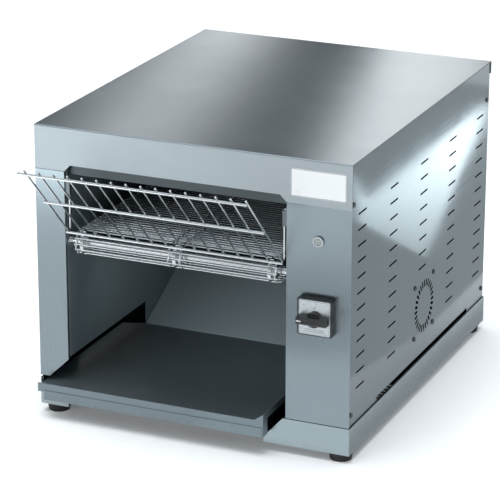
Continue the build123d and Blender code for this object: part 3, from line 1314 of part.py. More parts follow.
with BuildPart() as rack_wires:
    wire_radius = RACK_WIRE_DIAMETER / 2
    for n in range(RACK_WIRES):
        x = RACK_LEFT + n * RACK_PITCH
        rod_between(on_rack(x, 0), on_rack(x, RACK_LENGTH), wire_radius)
keep(rack_wires, "rack_wires")

with BuildPart() as rack_rails:
    rail_radius = RACK_RAIL_DIAMETER / 2
    for place in RACK_LOW_RAILS:
        rod_between(
            on_rack(RACK_LEFT - wire_radius, place, RAIL_UNDER),
            on_rack(RACK_RIGHT + wire_radius, place, RAIL_UNDER),
            rail_radius,
        )
    rod_between(
        on_rack(RACK_LEFT - RACK_TOP_OVERHANG, RACK_TOP_RAIL, RAIL_UNDER),
        on_rack(RACK_RIGHT + wire_radius, RACK_TOP_RAIL, RAIL_UNDER),
        rail_radius,
    )
    # The wires are sunk into the rails where they are welded.
    add(rack_wires.part, mode=Mode.SUBTRACT)
keep(rack_rails, "rack_rails")

with BuildPart() as rack_legs:
    # A leg at each side slides down into a clip; its bent top hangs on the clip.
    for x, wall in ((RACK_LEFT, OPEN_LEFT), (RACK_RIGHT, OPEN_RIGHT)):
        hook_tip = x + RACK_HOOK if wall > x else x - RACK_HOOK
        with BuildLine() as leg_line:
            FilletPolyline(
                (x, LEG_Y, LEG_FOOT), (x, LEG_Y, LEG_TOP), (hook_tip, LEG_Y, LEG_TOP),
                radius=RACK_WIRE_DIAMETER,
            )
        with BuildSketch(Plane(origin=(x, LEG_Y, LEG_FOOT))):
            Circle(wire_radius)
        sweep(path=leg_line.line)
        rod_between(on_rack(x, wire_radius), (x, LEG_Y, LEG_FOOT + wire_radius), RACK_STUB / 2)
    add(rack_wires.part, mode=Mode.SUBTRACT)
keep(rack_legs, "rack_legs")

with BuildPart() as rack_clips:
    slack = RACK_WIRE_DIAMETER / 2 + CLIP_CLEARANCE
    clip_top = LEG_TOP - RACK_WIRE_DIAMETER / 2 - CLIP_CLEARANCE
    rise = (clip_top - CLIP_HEIGHT, clip_top)
    for wall, leg_x, into in ((OPEN_LEFT, RACK_LEFT, 1), (OPEN_RIGHT, RACK_RIGHT, -1)):
        arms = sorted((wall, leg_x + into * slack))
        for near in (LEG_Y - slack - CLIP_SHEET, LEG_Y + slack):
            slab(arms, (near, near + CLIP_SHEET), rise)
        web = sorted((wall, wall + into * CLIP_SHEET))
        slab(web, (LEG_Y - slack - CLIP_SHEET, LEG_Y + slack + CLIP_SHEET), rise)
keep(rack_clips, "rack_clips")

print("nodes", len(os.listdir("parts")), "belt wires", len(centres), "chain links", len(rollers))
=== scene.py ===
"""The looks of a conveyor toaster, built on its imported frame. Metres, +Z up, front towards -Y."""

import json
import logging
import math
from dataclasses import dataclass
from enum import Enum
from typing import Optional, Sequence, Union

import bmesh
import bpy
from mathutils import Euler, Matrix, Vector


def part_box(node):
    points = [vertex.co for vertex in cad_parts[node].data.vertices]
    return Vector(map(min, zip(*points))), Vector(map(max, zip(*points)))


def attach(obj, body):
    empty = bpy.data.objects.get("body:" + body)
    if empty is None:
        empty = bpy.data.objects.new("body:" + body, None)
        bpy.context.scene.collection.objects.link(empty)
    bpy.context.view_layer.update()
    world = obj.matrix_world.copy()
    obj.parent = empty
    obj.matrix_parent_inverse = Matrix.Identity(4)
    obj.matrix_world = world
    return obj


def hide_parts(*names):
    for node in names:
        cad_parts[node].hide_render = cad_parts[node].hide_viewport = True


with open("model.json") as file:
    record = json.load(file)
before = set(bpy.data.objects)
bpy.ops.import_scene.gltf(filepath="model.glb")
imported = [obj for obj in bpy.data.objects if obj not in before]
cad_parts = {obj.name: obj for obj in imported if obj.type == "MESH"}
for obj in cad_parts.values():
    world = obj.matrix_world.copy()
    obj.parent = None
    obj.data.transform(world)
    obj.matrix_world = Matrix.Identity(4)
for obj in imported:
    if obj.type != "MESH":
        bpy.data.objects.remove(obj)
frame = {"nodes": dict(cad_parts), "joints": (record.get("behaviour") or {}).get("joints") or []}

LOG = logging.getLogger("toaster")
GRAIN_MAP = "grain"
MM = 0.001
MERGE_DISTANCE = 1.0e-6
WHITE = (1.0, 1.0, 1.0)
QUARTER_TURN_Y = (0.0, math.pi / 2, 0.0)

# Angles between faces, in degrees.
FLAT_ANGLE = 0.5
SMOOTH_ANGLE = 35.0
FOLD_ANGLE = 40.0
ROUND_ANGLE = 50.0

Colour = tuple[float, float, float]
Point = tuple[float, float, float]
Outline = tuple[tuple[float, float], ...]
Mesh = bpy.types.Mesh
Shape = bmesh.types.BMesh
Piece = bpy.types.Object
Material = bpy.types.Material
Tree = bpy.types.NodeTree
Node = bpy.types.Node
Socket = bpy.types.NodeSocket
Outputs = bpy.types.bpy_prop_collection
Ring = list[bmesh.types.BMVert]
Value = Union[float, Point, Socket]


class Body(Enum):
    """The rigid bodies that new pieces ride on."""

    CHASSIS = "chassis"
    SWITCH = "switch"
    TRAY = "tray"


class Grain(Enum):
    """The direction in which a sheet was brushed or rolled."""

    ALONG_X = (1.0, 0.0, 0.0)
    ALONG_Y = (0.0, 1.0, 0.0)
    ALONG_Z = (0.0, 0.0, 1.0)
    LEVEL = (math.sqrt(0.5), math.sqrt(0.5), 0.0)


class Kind(Enum):
    """What a group's socket carries."""

    FLOAT = "NodeSocketFloat"
    VECTOR = "NodeSocketVector"
    COLOUR = "NodeSocketColor"
    GEOMETRY = "NodeSocketGeometry"


# ---- node trees


class Pen:
    """Writes nodes into a node tree."""

    def __init__(self, tree: Tree) -> None:
        """Takes the tree to write in and empties it."""
        self.tree = tree
        tree.nodes.clear()

    def fill(self, node: Node, inputs: dict) -> None:
        """Sets or links inputs of a node.

        Args:
            node: The node.
            inputs: Socket name or number to a value or to the socket that feeds it.
        """
        for name, value in inputs.items():
            socket = node.inputs[name]
            if isinstance(value, Socket):
                self.tree.links.new(value, socket)
            elif socket.type == "RGBA":
                socket.default_value = (*value, 1.0)
            else:
                socket.default_value = value

    def add(self, kind: str, inputs: Optional[dict] = None, **settings: object) -> Node:
        """Adds one node.

        Args:
            kind: The node's type name.
            inputs: What its inputs are filled with.
            settings: Properties of the node.

        Returns:
            The new node.
        """
        node = self.tree.nodes.new(kind)
        for name, value in settings.items():
            setattr(node, name, value)
        self.fill(node, inputs or {})
        return node

    def math(self, operation: str, first: Value, *others: Value) -> Socket:
        """Joins values with one operation, from left to right.

        Args:
            operation: The operation of the Math nodes.
            first: The first value.
            others: The values that follow.

        Returns:
            The result.
        """
        for other in others:
            node = self.add("ShaderNodeMath", {0: first, 1: other}, operation=operation)
            first = node.outputs[0]
        return first

    def noise(self, place: Socket, scale: Value, **more: float) -> Socket:
        """Noise at a place, of a number of cells per metre."""
        inputs = {"Vector": place, "Scale": scale, **more}
        return self.add("ShaderNodeTexNoise", inputs).outputs["Fac"]

    def mapped(
        self,
        value: Socket,
        reads: tuple[float, float],
        gives: tuple[float, float] = (0.0, 1.0),
        smooth: bool = False,
    ) -> Socket:
        """Maps one range onto another and holds the result at its ends.

        Args:
            value: The value to map.
            reads: The start and end of the range that is read.
            gives: The start and end of the range that is put out.
            smooth: Whether the ends are eased.

        Returns:
            The result.
        """
        inputs = dict(zip(("From Min", "From Max", "To Min", "To Max"), (*reads, *gives)))
        easing = "SMOOTHSTEP" if smooth else "LINEAR"
        node = self.add(
            "ShaderNodeMapRange", {"Value": value, **inputs}, interpolation_type=easing
        )
        return node.outputs["Result"]

    def mix(self, share: Value, first: Value, second: Value, blend: str = "MIX") -> Socket:
        """Mixes two colours, with a share of the second on the first."""
        inputs = {"Factor": share, "A": first, "B": second}
        return self.add(
            "ShaderNodeMix", inputs, data_type="RGBA", blend_type=blend
        ).outputs["Result"]


def add_socket(
    tree: Tree, label: str, kind: Kind, way: str = "INPUT"
) -> bpy.types.NodeTreeInterfaceSocket:
    """Adds a named input or output to a group and gives it back."""
    return tree.interface.new_socket(label, in_out=way, socket_type=kind.value)


class GroupPen(Pen):
    """Writes a shader group that reads coordinates."""

    def __init__(
        self, name: str, takes: dict[str, Value], gives: Sequence[str], kind: Kind = Kind.FLOAT
    ) -> None:
        """Makes the group.

        Args:
            name: The group's name.
            takes: Each input besides the coordinates, and its default.
            gives: The outputs.
            kind: What the outputs carry.
        """
        tree = bpy.data.node_groups.new(name, "ShaderNodeTree")
        add_socket(tree, "Vector", Kind.VECTOR)
        for label, default in takes.items():
            taken = Kind.VECTOR if isinstance(default, tuple) else Kind.FLOAT
            add_socket(tree, label, taken).default_value = default
        for label in gives:
            add_socket(tree, label, kind, "OUTPUT")
        super().__init__(tree)
        self.source = self.add("NodeGroupInput").outputs

    def close(self, **outputs: Socket) -> Tree:
        """Puts out the results and returns the group."""
        self.add("NodeGroupOutput", outputs)
        return self.tree


def grain_group() -> Tree:
    """Fine parallel lines: noise drawn out along the direction in which Stretch is small.

    Returns:
        The group.
    """
    pen = GroupPen("grain_lines", {"Stretch": WHITE}, ("Lines", "Bands"))
    factors = {0: pen.source["Vector"], 1: pen.source["Stretch"]}
    drawn = pen.add("ShaderNodeVectorMath", factors, operation="MULTIPLY").outputs[0]
    lines_scale, bands_scale = 1.0, 0.25
    return pen.close(
        Lines=pen.noise(drawn, lines_scale, Detail=3.0, Roughness=0.65),
        Bands=pen.noise(drawn, bands_scale, Detail=2.0),
    )


def handling_group() -> Tree:
    """Soft wipe marks and faint finger smears on a bare surface.

    Returns:
        The group.
    """
    pen = GroupPen("handling_marks", {"Size": 7.0}, ("Haze", "Smears"))
    place, size = pen.source["Vector"], pen.source["Size"]
    smears_to_a_mark, noise_middle, smear_edges = 5.0, 0.5, (0.58, 0.72)
    haze = pen.noise(place, size, Detail=3.0, Distortion=0.6)
    patches = pen.noise(place, pen.math("MULTIPLY", size, smears_to_a_mark))
    return pen.close(
        Haze=pen.math("SUBTRACT", haze, noise_middle), Smears=pen.mapped(patches, smear_edges)
    )


def heat_group() -> Tree:
    """Straw and blue tints that steel takes near a heater, as a colour to multiply with.

    Returns:
        The group.
    """
    pen = GroupPen("heat_tint", {"Amount": 0.5}, ("Tint",), Kind.COLOUR)
    cloud_scale = 14.0
    cloud = pen.noise(pen.source["Vector"], cloud_scale, Detail=2.0)
    straw, plum, blue = (0.92, 0.80, 0.62), (0.74, 0.62, 0.62), (0.66, 0.72, 0.86)
    tints = ((0.30, WHITE), (0.48, straw), (0.60, plum), (0.72, blue))
    ramp = pen.add("ShaderNodeValToRGB", {"Fac": cloud})
    elements = ramp.color_ramp.elements
    while len(elements) < len(tints):
        elements.new(0.5)
    for element, (place, colour) in zip(elements, tints):
        element.position, element.color = place, (*colour, 1.0)
    return pen.close(Tint=pen.mix(pen.source["Amount"], WHITE, ramp.outputs["Color"]))


def speck_group() -> Tree:
    """Sparse small specks, such as dust or toasted crumbs.

    Returns:
        The group.
    """
    pen = GroupPen("specks", {"Density": 160.0, "Size": 0.16}, ("Mask",))
    inputs = {"Vector": pen.source["Vector"], "Scale": pen.source["Density"]}
    cells = pen.add("ShaderNodeTexVoronoi", inputs).outputs
    share_left_bare = 0.72
    few = pen.math("GREATER_THAN", cells["Color"], share_left_bare)
    near = pen.math("LESS_THAN", cells["Distance"], pen.source["Size"])
    return pen.close(Mask=pen.math("MULTIPLY", few, near))


class Effects:
    """The shader groups that several finishes share, each built once."""

    def __init__(self) -> None:
        """Builds the groups."""
        self.grain = grain_group()
        self.handling = handling_group()
        self.heat = heat_group()
        self.specks = speck_group()


# ---- finishes


def scaled(tone: Colour, factor: float) -> Colour:
    """A colour made darker or lighter, and no lighter than white."""
    return tuple(min(1.0, channel * factor) for channel in tone)


class MaterialPen(Pen):
    """Writes a material."""

    def __init__(self, name: str) -> None:
        """Makes the material.

        Args:
            name: Its name.
        """
        self.material = bpy.data.materials.new(name)
        self.material.use_nodes = True
        super().__init__(self.material.node_tree)

    def show(self, shader: Node) -> Material:
        """Puts a shader on the surface and returns the material."""
        self.add("ShaderNodeOutputMaterial", {"Surface": shader.outputs[0]})
        return self.material


class FinishPen(MaterialPen):
    """Writes a finish around one Principled shader, in object coordinates."""

    def __init__(self, name: str, effects: Effects) -> None:
        """Makes the material and its shader.

        Args:
            name: The material's name.
            effects: The shared groups.
        """
        super().__init__(name)
        self.effects = effects
        self.shader = self.add("ShaderNodeBsdfPrincipled")
        self.show(self.shader)
        self.place = self.add("ShaderNodeTexCoord").outputs["Object"]

    def group(self, tree: Tree, **inputs: Value) -> Outputs:
        """Places a shared group that reads the object coordinates and returns its outputs."""
        inputs["Vector"] = self.place
        return self.add("ShaderNodeGroup", inputs, node_tree=tree).outputs

    def feed(self, **inputs: Value) -> None:
        """Fills inputs of the shader, named with underscores for spaces."""
        self.fill(self.shader, {name.replace("_", " "): inputs[name] for name in inputs})

    def varied(self, mask: Socket, tone: Colour, down: float, up: float) -> Socket:
        """A tone that a mask takes from darker to lighter, each by a share of itself."""
        return self.mix(mask, scaled(tone, 1.0 - down), scaled(tone, 1.0 + up))

    def heated(self, colour: Socket, amount: float) -> Socket:
        """Tints a colour as heat does.

        Args:
            colour: The colour.
            amount: How strong the tint is; at nothing the colour stays as it is.

        Returns:
            The tinted colour.
        """
        if not amount:
            return colour
        tint = self.group(self.effects.heat, Amount=amount)["Tint"]
        return self.mix(1.0, colour, tint, "MULTIPLY")

    def roughen(self, base: float, *parts: tuple[Socket, float]) -> None:
        """Feeds the roughness from a base and from masks, each times its own amount."""
        products = [self.math("MULTIPLY", mask, amount) for mask, amount in parts]
        self.feed(Roughness=self.math("ADD", *products, base))

    def bump(self, height: Socket, depth: float) -> None:
        """Feeds the normal from a height in 0..1 of the given depth in metres."""
        node = self.add("ShaderNodeBump", {"Height": height, "Distance": depth, "Strength": 1.0})
        self.feed(Normal=node.outputs["Normal"])


@dataclass(frozen=True)
class Finish:
    """What every finish has."""

    name: str
    tone: Colour
    roughness: float = 0.27

    def build(self, effects: Effects) -> Material:
        """Makes the material.

        Args:
            effects: The shared groups.

        Returns:
            The material.
        """
        pen = FinishPen(self.name, effects)
        self.paint(pen)
        return pen.material

    def paint(self, pen: FinishPen) -> None:
        """Writes the nodes."""
        raise NotImplementedError


@dataclass(frozen=True)
class BrushedSteel(Finish):
    """Bare steel sheet with a fine directional grain."""

    grain: Grain = Grain.ALONG_X
    anisotropy: float = 0.8
    lines_per_metre: float = 1400.0
    line_length: float = 0.08
    depth: float = 2.5e-6
    heat: float = 0.0
    contrast: float = 0.10
    metal: float = 1.0
    smear_share: float = 0.10
    smear_tone: float = 0.82
    band_roughness: float = 0.05
    haze_roughness: float = 0.09
    roughness_drop: float = 0.04

    def paint(self, pen: FinishPen) -> None:
        """Writes the nodes.

        Args:
            pen: The pen of the material.
        """
        stretch = tuple(
            1.0 / self.line_length if along else self.lines_per_metre
            for along in self.grain.value
        )
        lines = pen.group(pen.effects.grain, Stretch=stretch)
        marks = pen.group(pen.effects.handling)
        colour = pen.varied(lines["Lines"], self.tone, self.contrast, self.contrast)
        smears = pen.math("MULTIPLY", marks["Smears"], self.smear_share)
        colour = pen.mix(smears, colour, scaled(self.tone, self.smear_tone))
        pen.feed(Base_Color=pen.heated(colour, self.heat), Metallic=self.metal)
        bands, haze = (lines["Bands"], self.band_roughness), (marks["Haze"], self.haze_roughness)
        pen.roughen(self.roughness - self.roughness_drop, bands, haze)
        tangent = pen.add("ShaderNodeTangent", direction_type="UV_MAP", uv_map=GRAIN_MAP)
        pen.feed(Anisotropic=self.anisotropy, Tangent=tangent.outputs[0])
        pen.bump(lines["Lines"], self.depth)


@dataclass(frozen=True)
class PlainSteel(Finish):
    """Drawn, turned or plated steel and other bare metals without a clear grain."""

    mottling: float = 0.08
    cells_per_metre: float = 260.0
    depth: float = 4.0e-6
    heat: float = 0.0
    grime: float = 0.0
    grime_tone: Colour = (0.06, 0.05, 0.045)
    grime_cells: float = 22.0
    grain_roughness: float = 0.14

    def paint(self, pen: FinishPen) -> None:
        """Writes the nodes.

        Args:
            pen: The pen of the material.
        """
        grains = pen.noise(pen.place, self.cells_per_metre, Detail=3.0)
        colour = pen.varied(grains, self.tone, 2.0 * self.mottling, self.mottling)
        colour = pen.heated(colour, self.heat)
        if self.grime:
            smears = pen.group(pen.effects.handling, Size=self.grime_cells)["Smears"]
            colour = pen.mix(pen.math("MULTIPLY", smears, self.grime), colour, self.grime_tone)
        pen.feed(Base_Color=colour, Metallic=1.0)
        pen.roughen(self.roughness - self.grain_roughness / 2, (grains, self.grain_roughness))
        pen.bump(grains, self.depth)


@dataclass(frozen=True)
class Moulded(Finish):
    """A non-metal with a fine moulded, sprayed or fired texture."""

    cells_per_metre: float = 1500.0
    depth: float = 1.5e-5
    variation: float = 0.25
    coat: float = 0.0
    dust: float = 0.06
    dust_tone: Colour = (0.30, 0.29, 0.27)
    dust_cells: float = 420.0
    dust_size: float = 0.13
    haze_cells: float = 18.0
    haze_roughness: float = 0.2

    def paint(self, pen: FinishPen) -> None:
        """Writes the nodes.

        Args:
            pen: The pen of the material.
        """
        skin = pen.noise(pen.place, self.cells_per_metre, Detail=2.0)
        haze = pen.group(pen.effects.handling, Size=self.haze_cells)["Haze"]
        specks = pen.group(pen.effects.specks, Density=self.dust_cells, Size=self.dust_size)["Mask"]
        colour = pen.varied(skin, self.tone, self.variation, self.variation)
        colour = pen.mix(pen.math("MULTIPLY", specks, self.dust), colour, self.dust_tone)
        pen.feed(Base_Color=colour, Coat_Weight=self.coat)
        pen.roughen(self.roughness, (haze, self.haze_roughness))
        pen.bump(skin, self.depth)


@dataclass(frozen=True)
class Clear(Finish):
    """Glass or clear plastic."""

    refraction: float = 1.46
    smear_cells: float = 40.0
    smear_tone: float = 0.93
    smear_roughness: float = 0.12

    def paint(self, pen: FinishPen) -> None:
        """Writes the nodes.

        Args:
            pen: The pen of the material.
        """
        smears = pen.group(pen.effects.handling, Size=self.smear_cells)["Smears"]
        colour = pen.mix(smears, self.tone, scaled(self.tone, self.smear_tone))
        pen.feed(Base_Color=colour, Transmission_Weight=1.0, IOR=self.refraction)
        pen.roughen(self.roughness, (smears, self.smear_roughness))


FINISHES: tuple[Finish, ...] = (
    # Painted light: the top cover's steel is a lighter copy of the casing steel, for the light that
    # its upward face catches.
    BrushedSteel("cover_steel", (0.50, 0.55, 0.575), roughness=0.26, contrast=0.04),
    # Painted light: the header's steel is a lighter copy of the front panels' steel, for the
    # brighter light on the header; its greater roughness is its own.
    BrushedSteel(
        "header_steel", (0.40, 0.44, 0.46), roughness=0.46, anisotropy=0.4, contrast=0.04
    ),
    BrushedSteel("front_steel", (0.24, 0.28, 0.30), grain=Grain.ALONG_Z, contrast=0.07),
    # Painted shade: the right side panel's steel is a darker copy of the casing steel that the left
    # side panel wears, for the shade on that side.
    BrushedSteel(
        "side_steel", (0.134, 0.168, 0.184), roughness=0.10, grain=Grain.ALONG_Y,
        anisotropy=0.3, depth=1.0e-6, contrast=0.16,
    ),
    BrushedSteel("pan_steel", (0.32, 0.37, 0.39), grain=Grain.LEVEL),
    BrushedSteel("tray_steel", (0.20, 0.24, 0.26), roughness=0.4, anisotropy=0.5, metal=0.75),
    BrushedSteel(
        "chamber_steel", (0.19, 0.24, 0.26), roughness=0.5, grain=Grain.ALONG_Y,
        anisotropy=0.5, metal=0.4, heat=0.12,
    ),
    BrushedSteel("reflector_steel", (0.11, 0.13, 0.14), roughness=0.45, heat=0.2),
    BrushedSteel("slide_steel", (0.30, 0.37, 0.40), roughness=0.5, anisotropy=0.3, metal=0.25),
    BrushedSteel("bracket_steel", (0.5, 0.51, 0.52), roughness=0.4, anisotropy=0.2),
    # Painted shade: the dark tone of the cut edges stands in for the shadow line between the top
    # cover and the side panels; the roughness is a sheared edge's own.
    PlainSteel("cut_edge", (0.06, 0.07, 0.075), roughness=0.45, depth=1.0e-5),
    PlainSteel("chromed_wire", (0.72, 0.74, 0.75), roughness=0.13, heat=0.05),
    PlainSteel("clip_steel", (0.16, 0.18, 0.19), roughness=0.35),
    PlainSteel("belt_wire", (0.72, 0.76, 0.78), roughness=0.2, heat=0.1),
    PlainSteel("turned_steel", (0.64, 0.65, 0.66), roughness=0.24),
    PlainSteel("screw_steel", (0.12, 0.14, 0.15), roughness=0.3),
    PlainSteel("chain_steel", (0.22, 0.22, 0.225), roughness=0.35, grime=0.6),
    PlainSteel("cast_zinc", (0.45, 0.46, 0.47), roughness=0.45, depth=2.0e-5),
    PlainSteel("plate_aluminium", (0.60, 0.64, 0.66), roughness=0.3),
    PlainSteel("bezel_chrome", (0.42, 0.45, 0.46), roughness=0.14),
    PlainSteel("coil_alloy", (0.32, 0.27, 0.24), roughness=0.4, heat=0.4),
    Moulded("foot_rubber", (0.018, 0.018, 0.018), roughness=0.7, dust=0.25),
    Moulded("black_plastic", (0.016, 0.017, 0.018), roughness=0.38),
    Moulded("knob_plastic", (0.012, 0.013, 0.014), roughness=0.22, depth=4.0e-6, coat=0.3),
    Moulded("grey_plastic", (0.28, 0.29, 0.30), roughness=0.5),
    Moulded("motor_enamel", (0.05, 0.055, 0.065), roughness=0.35, coat=0.2),
    Moulded("steatite", (0.76, 0.74, 0.69), roughness=0.7, variation=0.05, dust=0.2),
    Moulded(
        "mineral_board", (0.72, 0.69, 0.62), roughness=0.95,
        cells_per_metre=500.0, depth=2.0e-4, variation=0.12,
    ),
    Moulded(
        "label_film", (0.90, 0.91, 0.91), roughness=0.3,
        depth=2.0e-6, variation=0.015, dust=0.02,
    ),
    Moulded("mark_ink", (0.03, 0.03, 0.032), roughness=0.5, depth=1.0e-6, dust=0.0),
    Moulded("mark_white", (0.82, 0.82, 0.80), roughness=0.4, depth=1.0e-6, variation=0.04),
    Moulded(
        "lens_milk", (0.34, 0.37, 0.36), roughness=0.12,
        depth=1.0e-6, variation=0.1, coat=0.6, dust=0.0,
    ),
    Clear("quartz", (0.93, 0.93, 0.92), roughness=0.18),
)


def build_finishes() -> dict[str, Material]:
    """Builds every material of the object.

    Returns:
        The materials by the names of their finishes.
    """
    effects = Effects()
    materials = {}
    for finish in FINISHES:
        materials[finish.name] = finish.build(effects)
        LOG.info("finish %s", finish.name)
    return materials


# ---- shared making


@dataclass
class Part:
    """What every sub-assembly has: the materials that dress it."""

    finishes: dict[str, Material]


def new_object(name: str, data: bpy.types.ID) -> Piece:
    """Links a new object.

    Args:
        name: The object's name.
        data: The mesh, curve, lamp or camera that it holds.

    Returns:
        The object.
    """
    piece = bpy.data.objects.new(name, data)
    bpy.context.scene.collection.objects.link(piece)
    return piece


def dress(piece: Piece, *materials: Material) -> None:
    """Gives a piece its materials.

    Args:
        piece: The piece.
        materials: One for each material slot.
    """
    piece.data.materials.clear()
    for material in materials:
        piece.data.materials.append(material)


def settle(piece: Piece, body: Body, node: str = "") -> None:
    """Puts a finished piece on its body.

    Args:
        piece: The piece, with its place in its mesh.
        body: The body that it moves with.
        node: The CAD node that it replaces, if any.
    """
    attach(piece, body.value)
    if node:
        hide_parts(node)
    LOG.info("piece %s on %s", piece.name, body.value)


def middle_of(low: Vector, high: Vector) -> Point:
    """The middle of a box."""
    return tuple((start + end) / 2 for start, end in zip(low, high))


def merged_copy(node: str) -> Shape:
    """Copies a CAD node's mesh with its loose triangles joined.

    Args:
        node: The node's name.

    Returns:
        The copy.
    """
    shape = bmesh.new()
    shape.from_mesh(frame["nodes"][node].data)
    bmesh.ops.remove_doubles(shape, verts=shape.verts, dist=MERGE_DISTANCE)
    return shape


def add_box(shape: Shape, middle: Point, size: Point) -> None:
    """Adds a box to a shape."""
    place = Matrix.Translation(middle) @ Matrix.Diagonal((*size, 1.0))
    bmesh.ops.create_cube(shape, size=1.0, matrix=place)


def piece_of(name: str, shape: Shape) -> Piece:
    """Makes a piece of a shape and frees the shape.

    Args:
        name: The piece's name.
        shape: The shape.

    Returns:
        The piece.
    """
    mesh = bpy.data.meshes.new(name)
    shape.to_mesh(mesh)
    shape.free()
    return new_object(name, mesh)


def smooth_by_angle(mesh: Mesh, degrees: float) -> None:
    """Shades a mesh smooth, except over edges sharper than an angle."""
    mesh.shade_smooth()
    mesh.set_sharp_from_angle(angle=math.radians(degrees))


def evaluated_mesh(piece: Piece) -> Mesh:
    """Makes a plain mesh of a piece as its modifiers leave it.

    Args:
        piece: The piece, which may be text.

    Returns:
        The mesh.
    """
    bpy.context.view_layer.update()
    graph = bpy.context.evaluated_depsgraph_get()
    return bpy.data.meshes.new_from_object(piece.evaluated_get(graph))


def flatten_modifiers(piece: Piece) -> None:
    """Replaces a piece's mesh with the evaluated one and drops its modifiers.

    Args:
        piece: The piece.
    """
    mesh = evaluated_mesh(piece)
    piece.modifiers.clear()
    piece.data = mesh
    mesh.name = piece.name


def ease_edges(piece: Piece, width: float, segments: int) -> None:
    """Rounds a piece's folded and cut edges.

    Args:
        piece: The piece.
        width: How far the rounding reaches.
        segments: How many faces it has.
    """
    bevel = piece.modifiers.new("eased_edges", "BEVEL")
    bevel.width, bevel.segments = width, segments
    bevel.limit_method, bevel.angle_limit = "ANGLE", math.radians(FOLD_ANGLE)
    bevel.harden_normals = True
    flatten_modifiers(piece)


def within_face(direction: Vector, normal: Vector) -> Vector:
    """The part of a direction that lies in a face."""
    return direction - normal * direction.dot(normal)


def grain_uv(mesh: Mesh, grain: Grain, least: float = 0.3) -> None:
    """Adds a map whose u runs across the grain on every face, for the shader's tangent.

    Args:
        mesh: The mesh to map.
        grain: The grain's direction.
        least: How much of the grain has to lie in a face for the face to follow it.
    """
    layer = mesh.uv_layers.new(name=GRAIN_MAP)
    main = Vector(grain.value)
    spare = Vector((0.0, 1.0, 0.0) if grain is Grain.ALONG_Z else (0.0, 0.0, 1.0))
    for face in mesh.polygons:
        along = within_face(main, face.normal)
        if along.length < least:
            along = within_face(spare, face.normal)
        along.normalize()
        across = along.cross(face.normal)
        for corner in face.loop_indices:
            place = mesh.vertices[mesh.loops[corner].vertex_index].co
            layer.data[corner].uv = (place.dot(across), place.dot(along))


# ---- sheets


@dataclass
class SheetPiece:
    """A sheet-metal or moulded node with its edges eased, as folding and deburring leave them."""

    node: str
    finish: str
    slot: str = "casing_steel"
    body: Body = Body.CHASSIS
    grain: Grain = Grain.ALONG_X
    edge: float = 0.45 * MM
    segments: int = 2
    face: str = ""
    ahead: float = 0.75
    aside: float = 0.9

    def build(self, finishes: dict[str, Material]) -> None:
        """Makes the piece that stands for the node.

        Args:
            finishes: The materials.
        """
        shape = merged_copy(self.node)
        bmesh.ops.dissolve_limit(
            shape,
            angle_limit=math.radians(FLAT_ANGLE),
            verts=shape.verts,
            edges=shape.edges,
            delimit=set(),
        )
        piece = piece_of(f"{self.node}_eased", shape)
        smooth_by_angle(piece.data, SMOOTH_ANGLE)
        ease_edges(piece, self.edge, self.segments)
        grain_uv(piece.data, self.grain)
        # The cut ends wear a dark steel that is painted shade.
        worn = (self.finish, self.face, "cut_edge") if self.face else (self.finish,)
        dress(piece, *(finishes[name] for name in worn))
        if self.face:
            self.part_faces(piece.data)
        settle(piece, self.body, self.node)

    def part_faces(self, mesh: Mesh) -> None:
        """Gives the faces that look forward and the cut ends their own slots; the dark steel on the
        cut ends is painted shade.

        Args:
            mesh: The piece's mesh.
        """
        for polygon in mesh.polygons:
            ahead, aside = polygon.normal.y < -self.ahead, abs(polygon.normal.x) > self.aside
            polygon.material_index = 2 if aside else int(ahead)


SHEETS = (
    # Painted light and shade: the cover's top and its header wear lighter copies of the casing
    # steel, and its cut ends wear a dark painted shade.
    SheetPiece("top_cover", "cover_steel", face="header_steel"),
    SheetPiece("left_column", "front_steel", grain=Grain.ALONG_Z),
    SheetPiece("control_panel", "front_steel", grain=Grain.ALONG_Z),
    SheetPiece("left_side_panel", "front_steel", grain=Grain.ALONG_Z),
    # Painted shade: a darker copy of the casing steel than the left side panel's.
    SheetPiece("right_side_panel", "side_steel", grain=Grain.ALONG_Y),
    SheetPiece("rear_panel", "front_steel", grain=Grain.ALONG_Z),
    SheetPiece("base_pan", "pan_steel", grain=Grain.LEVEL),
    SheetPiece("collecting_tray", "tray_steel", body=Body.TRAY),
    SheetPiece("left_chamber_wall", "chamber_steel", "inner_steel", grain=Grain.ALONG_Y),
    SheetPiece("right_chamber_wall", "chamber_steel", "inner_steel", grain=Grain.ALONG_Y),
    SheetPiece("upper_reflector", "reflector_steel", "galvanised_steel"),
    SheetPiece("lower_reflector", "reflector_steel", "galvanised_steel"),
    SheetPiece("rear_guide", "chamber_steel", "inner_steel"),
    SheetPiece("toast_slide", "slide_steel", "slide_steel"),
    SheetPiece("switch_block", "black_plastic", "black_plastic", edge=0.8 * MM, segments=3),
    SheetPiece("switch_plate", "plate_aluminium", "plate_silver", edge=0.3 * MM),
    SheetPiece(
        "switch_knob", "knob_plastic", "knob_plastic", Body.SWITCH, edge=1.0 * MM, segments=3
    ),
    SheetPiece("label_plate", "label_film", "label_film", edge=0.2 * MM),
)


# ---- geometry nodes


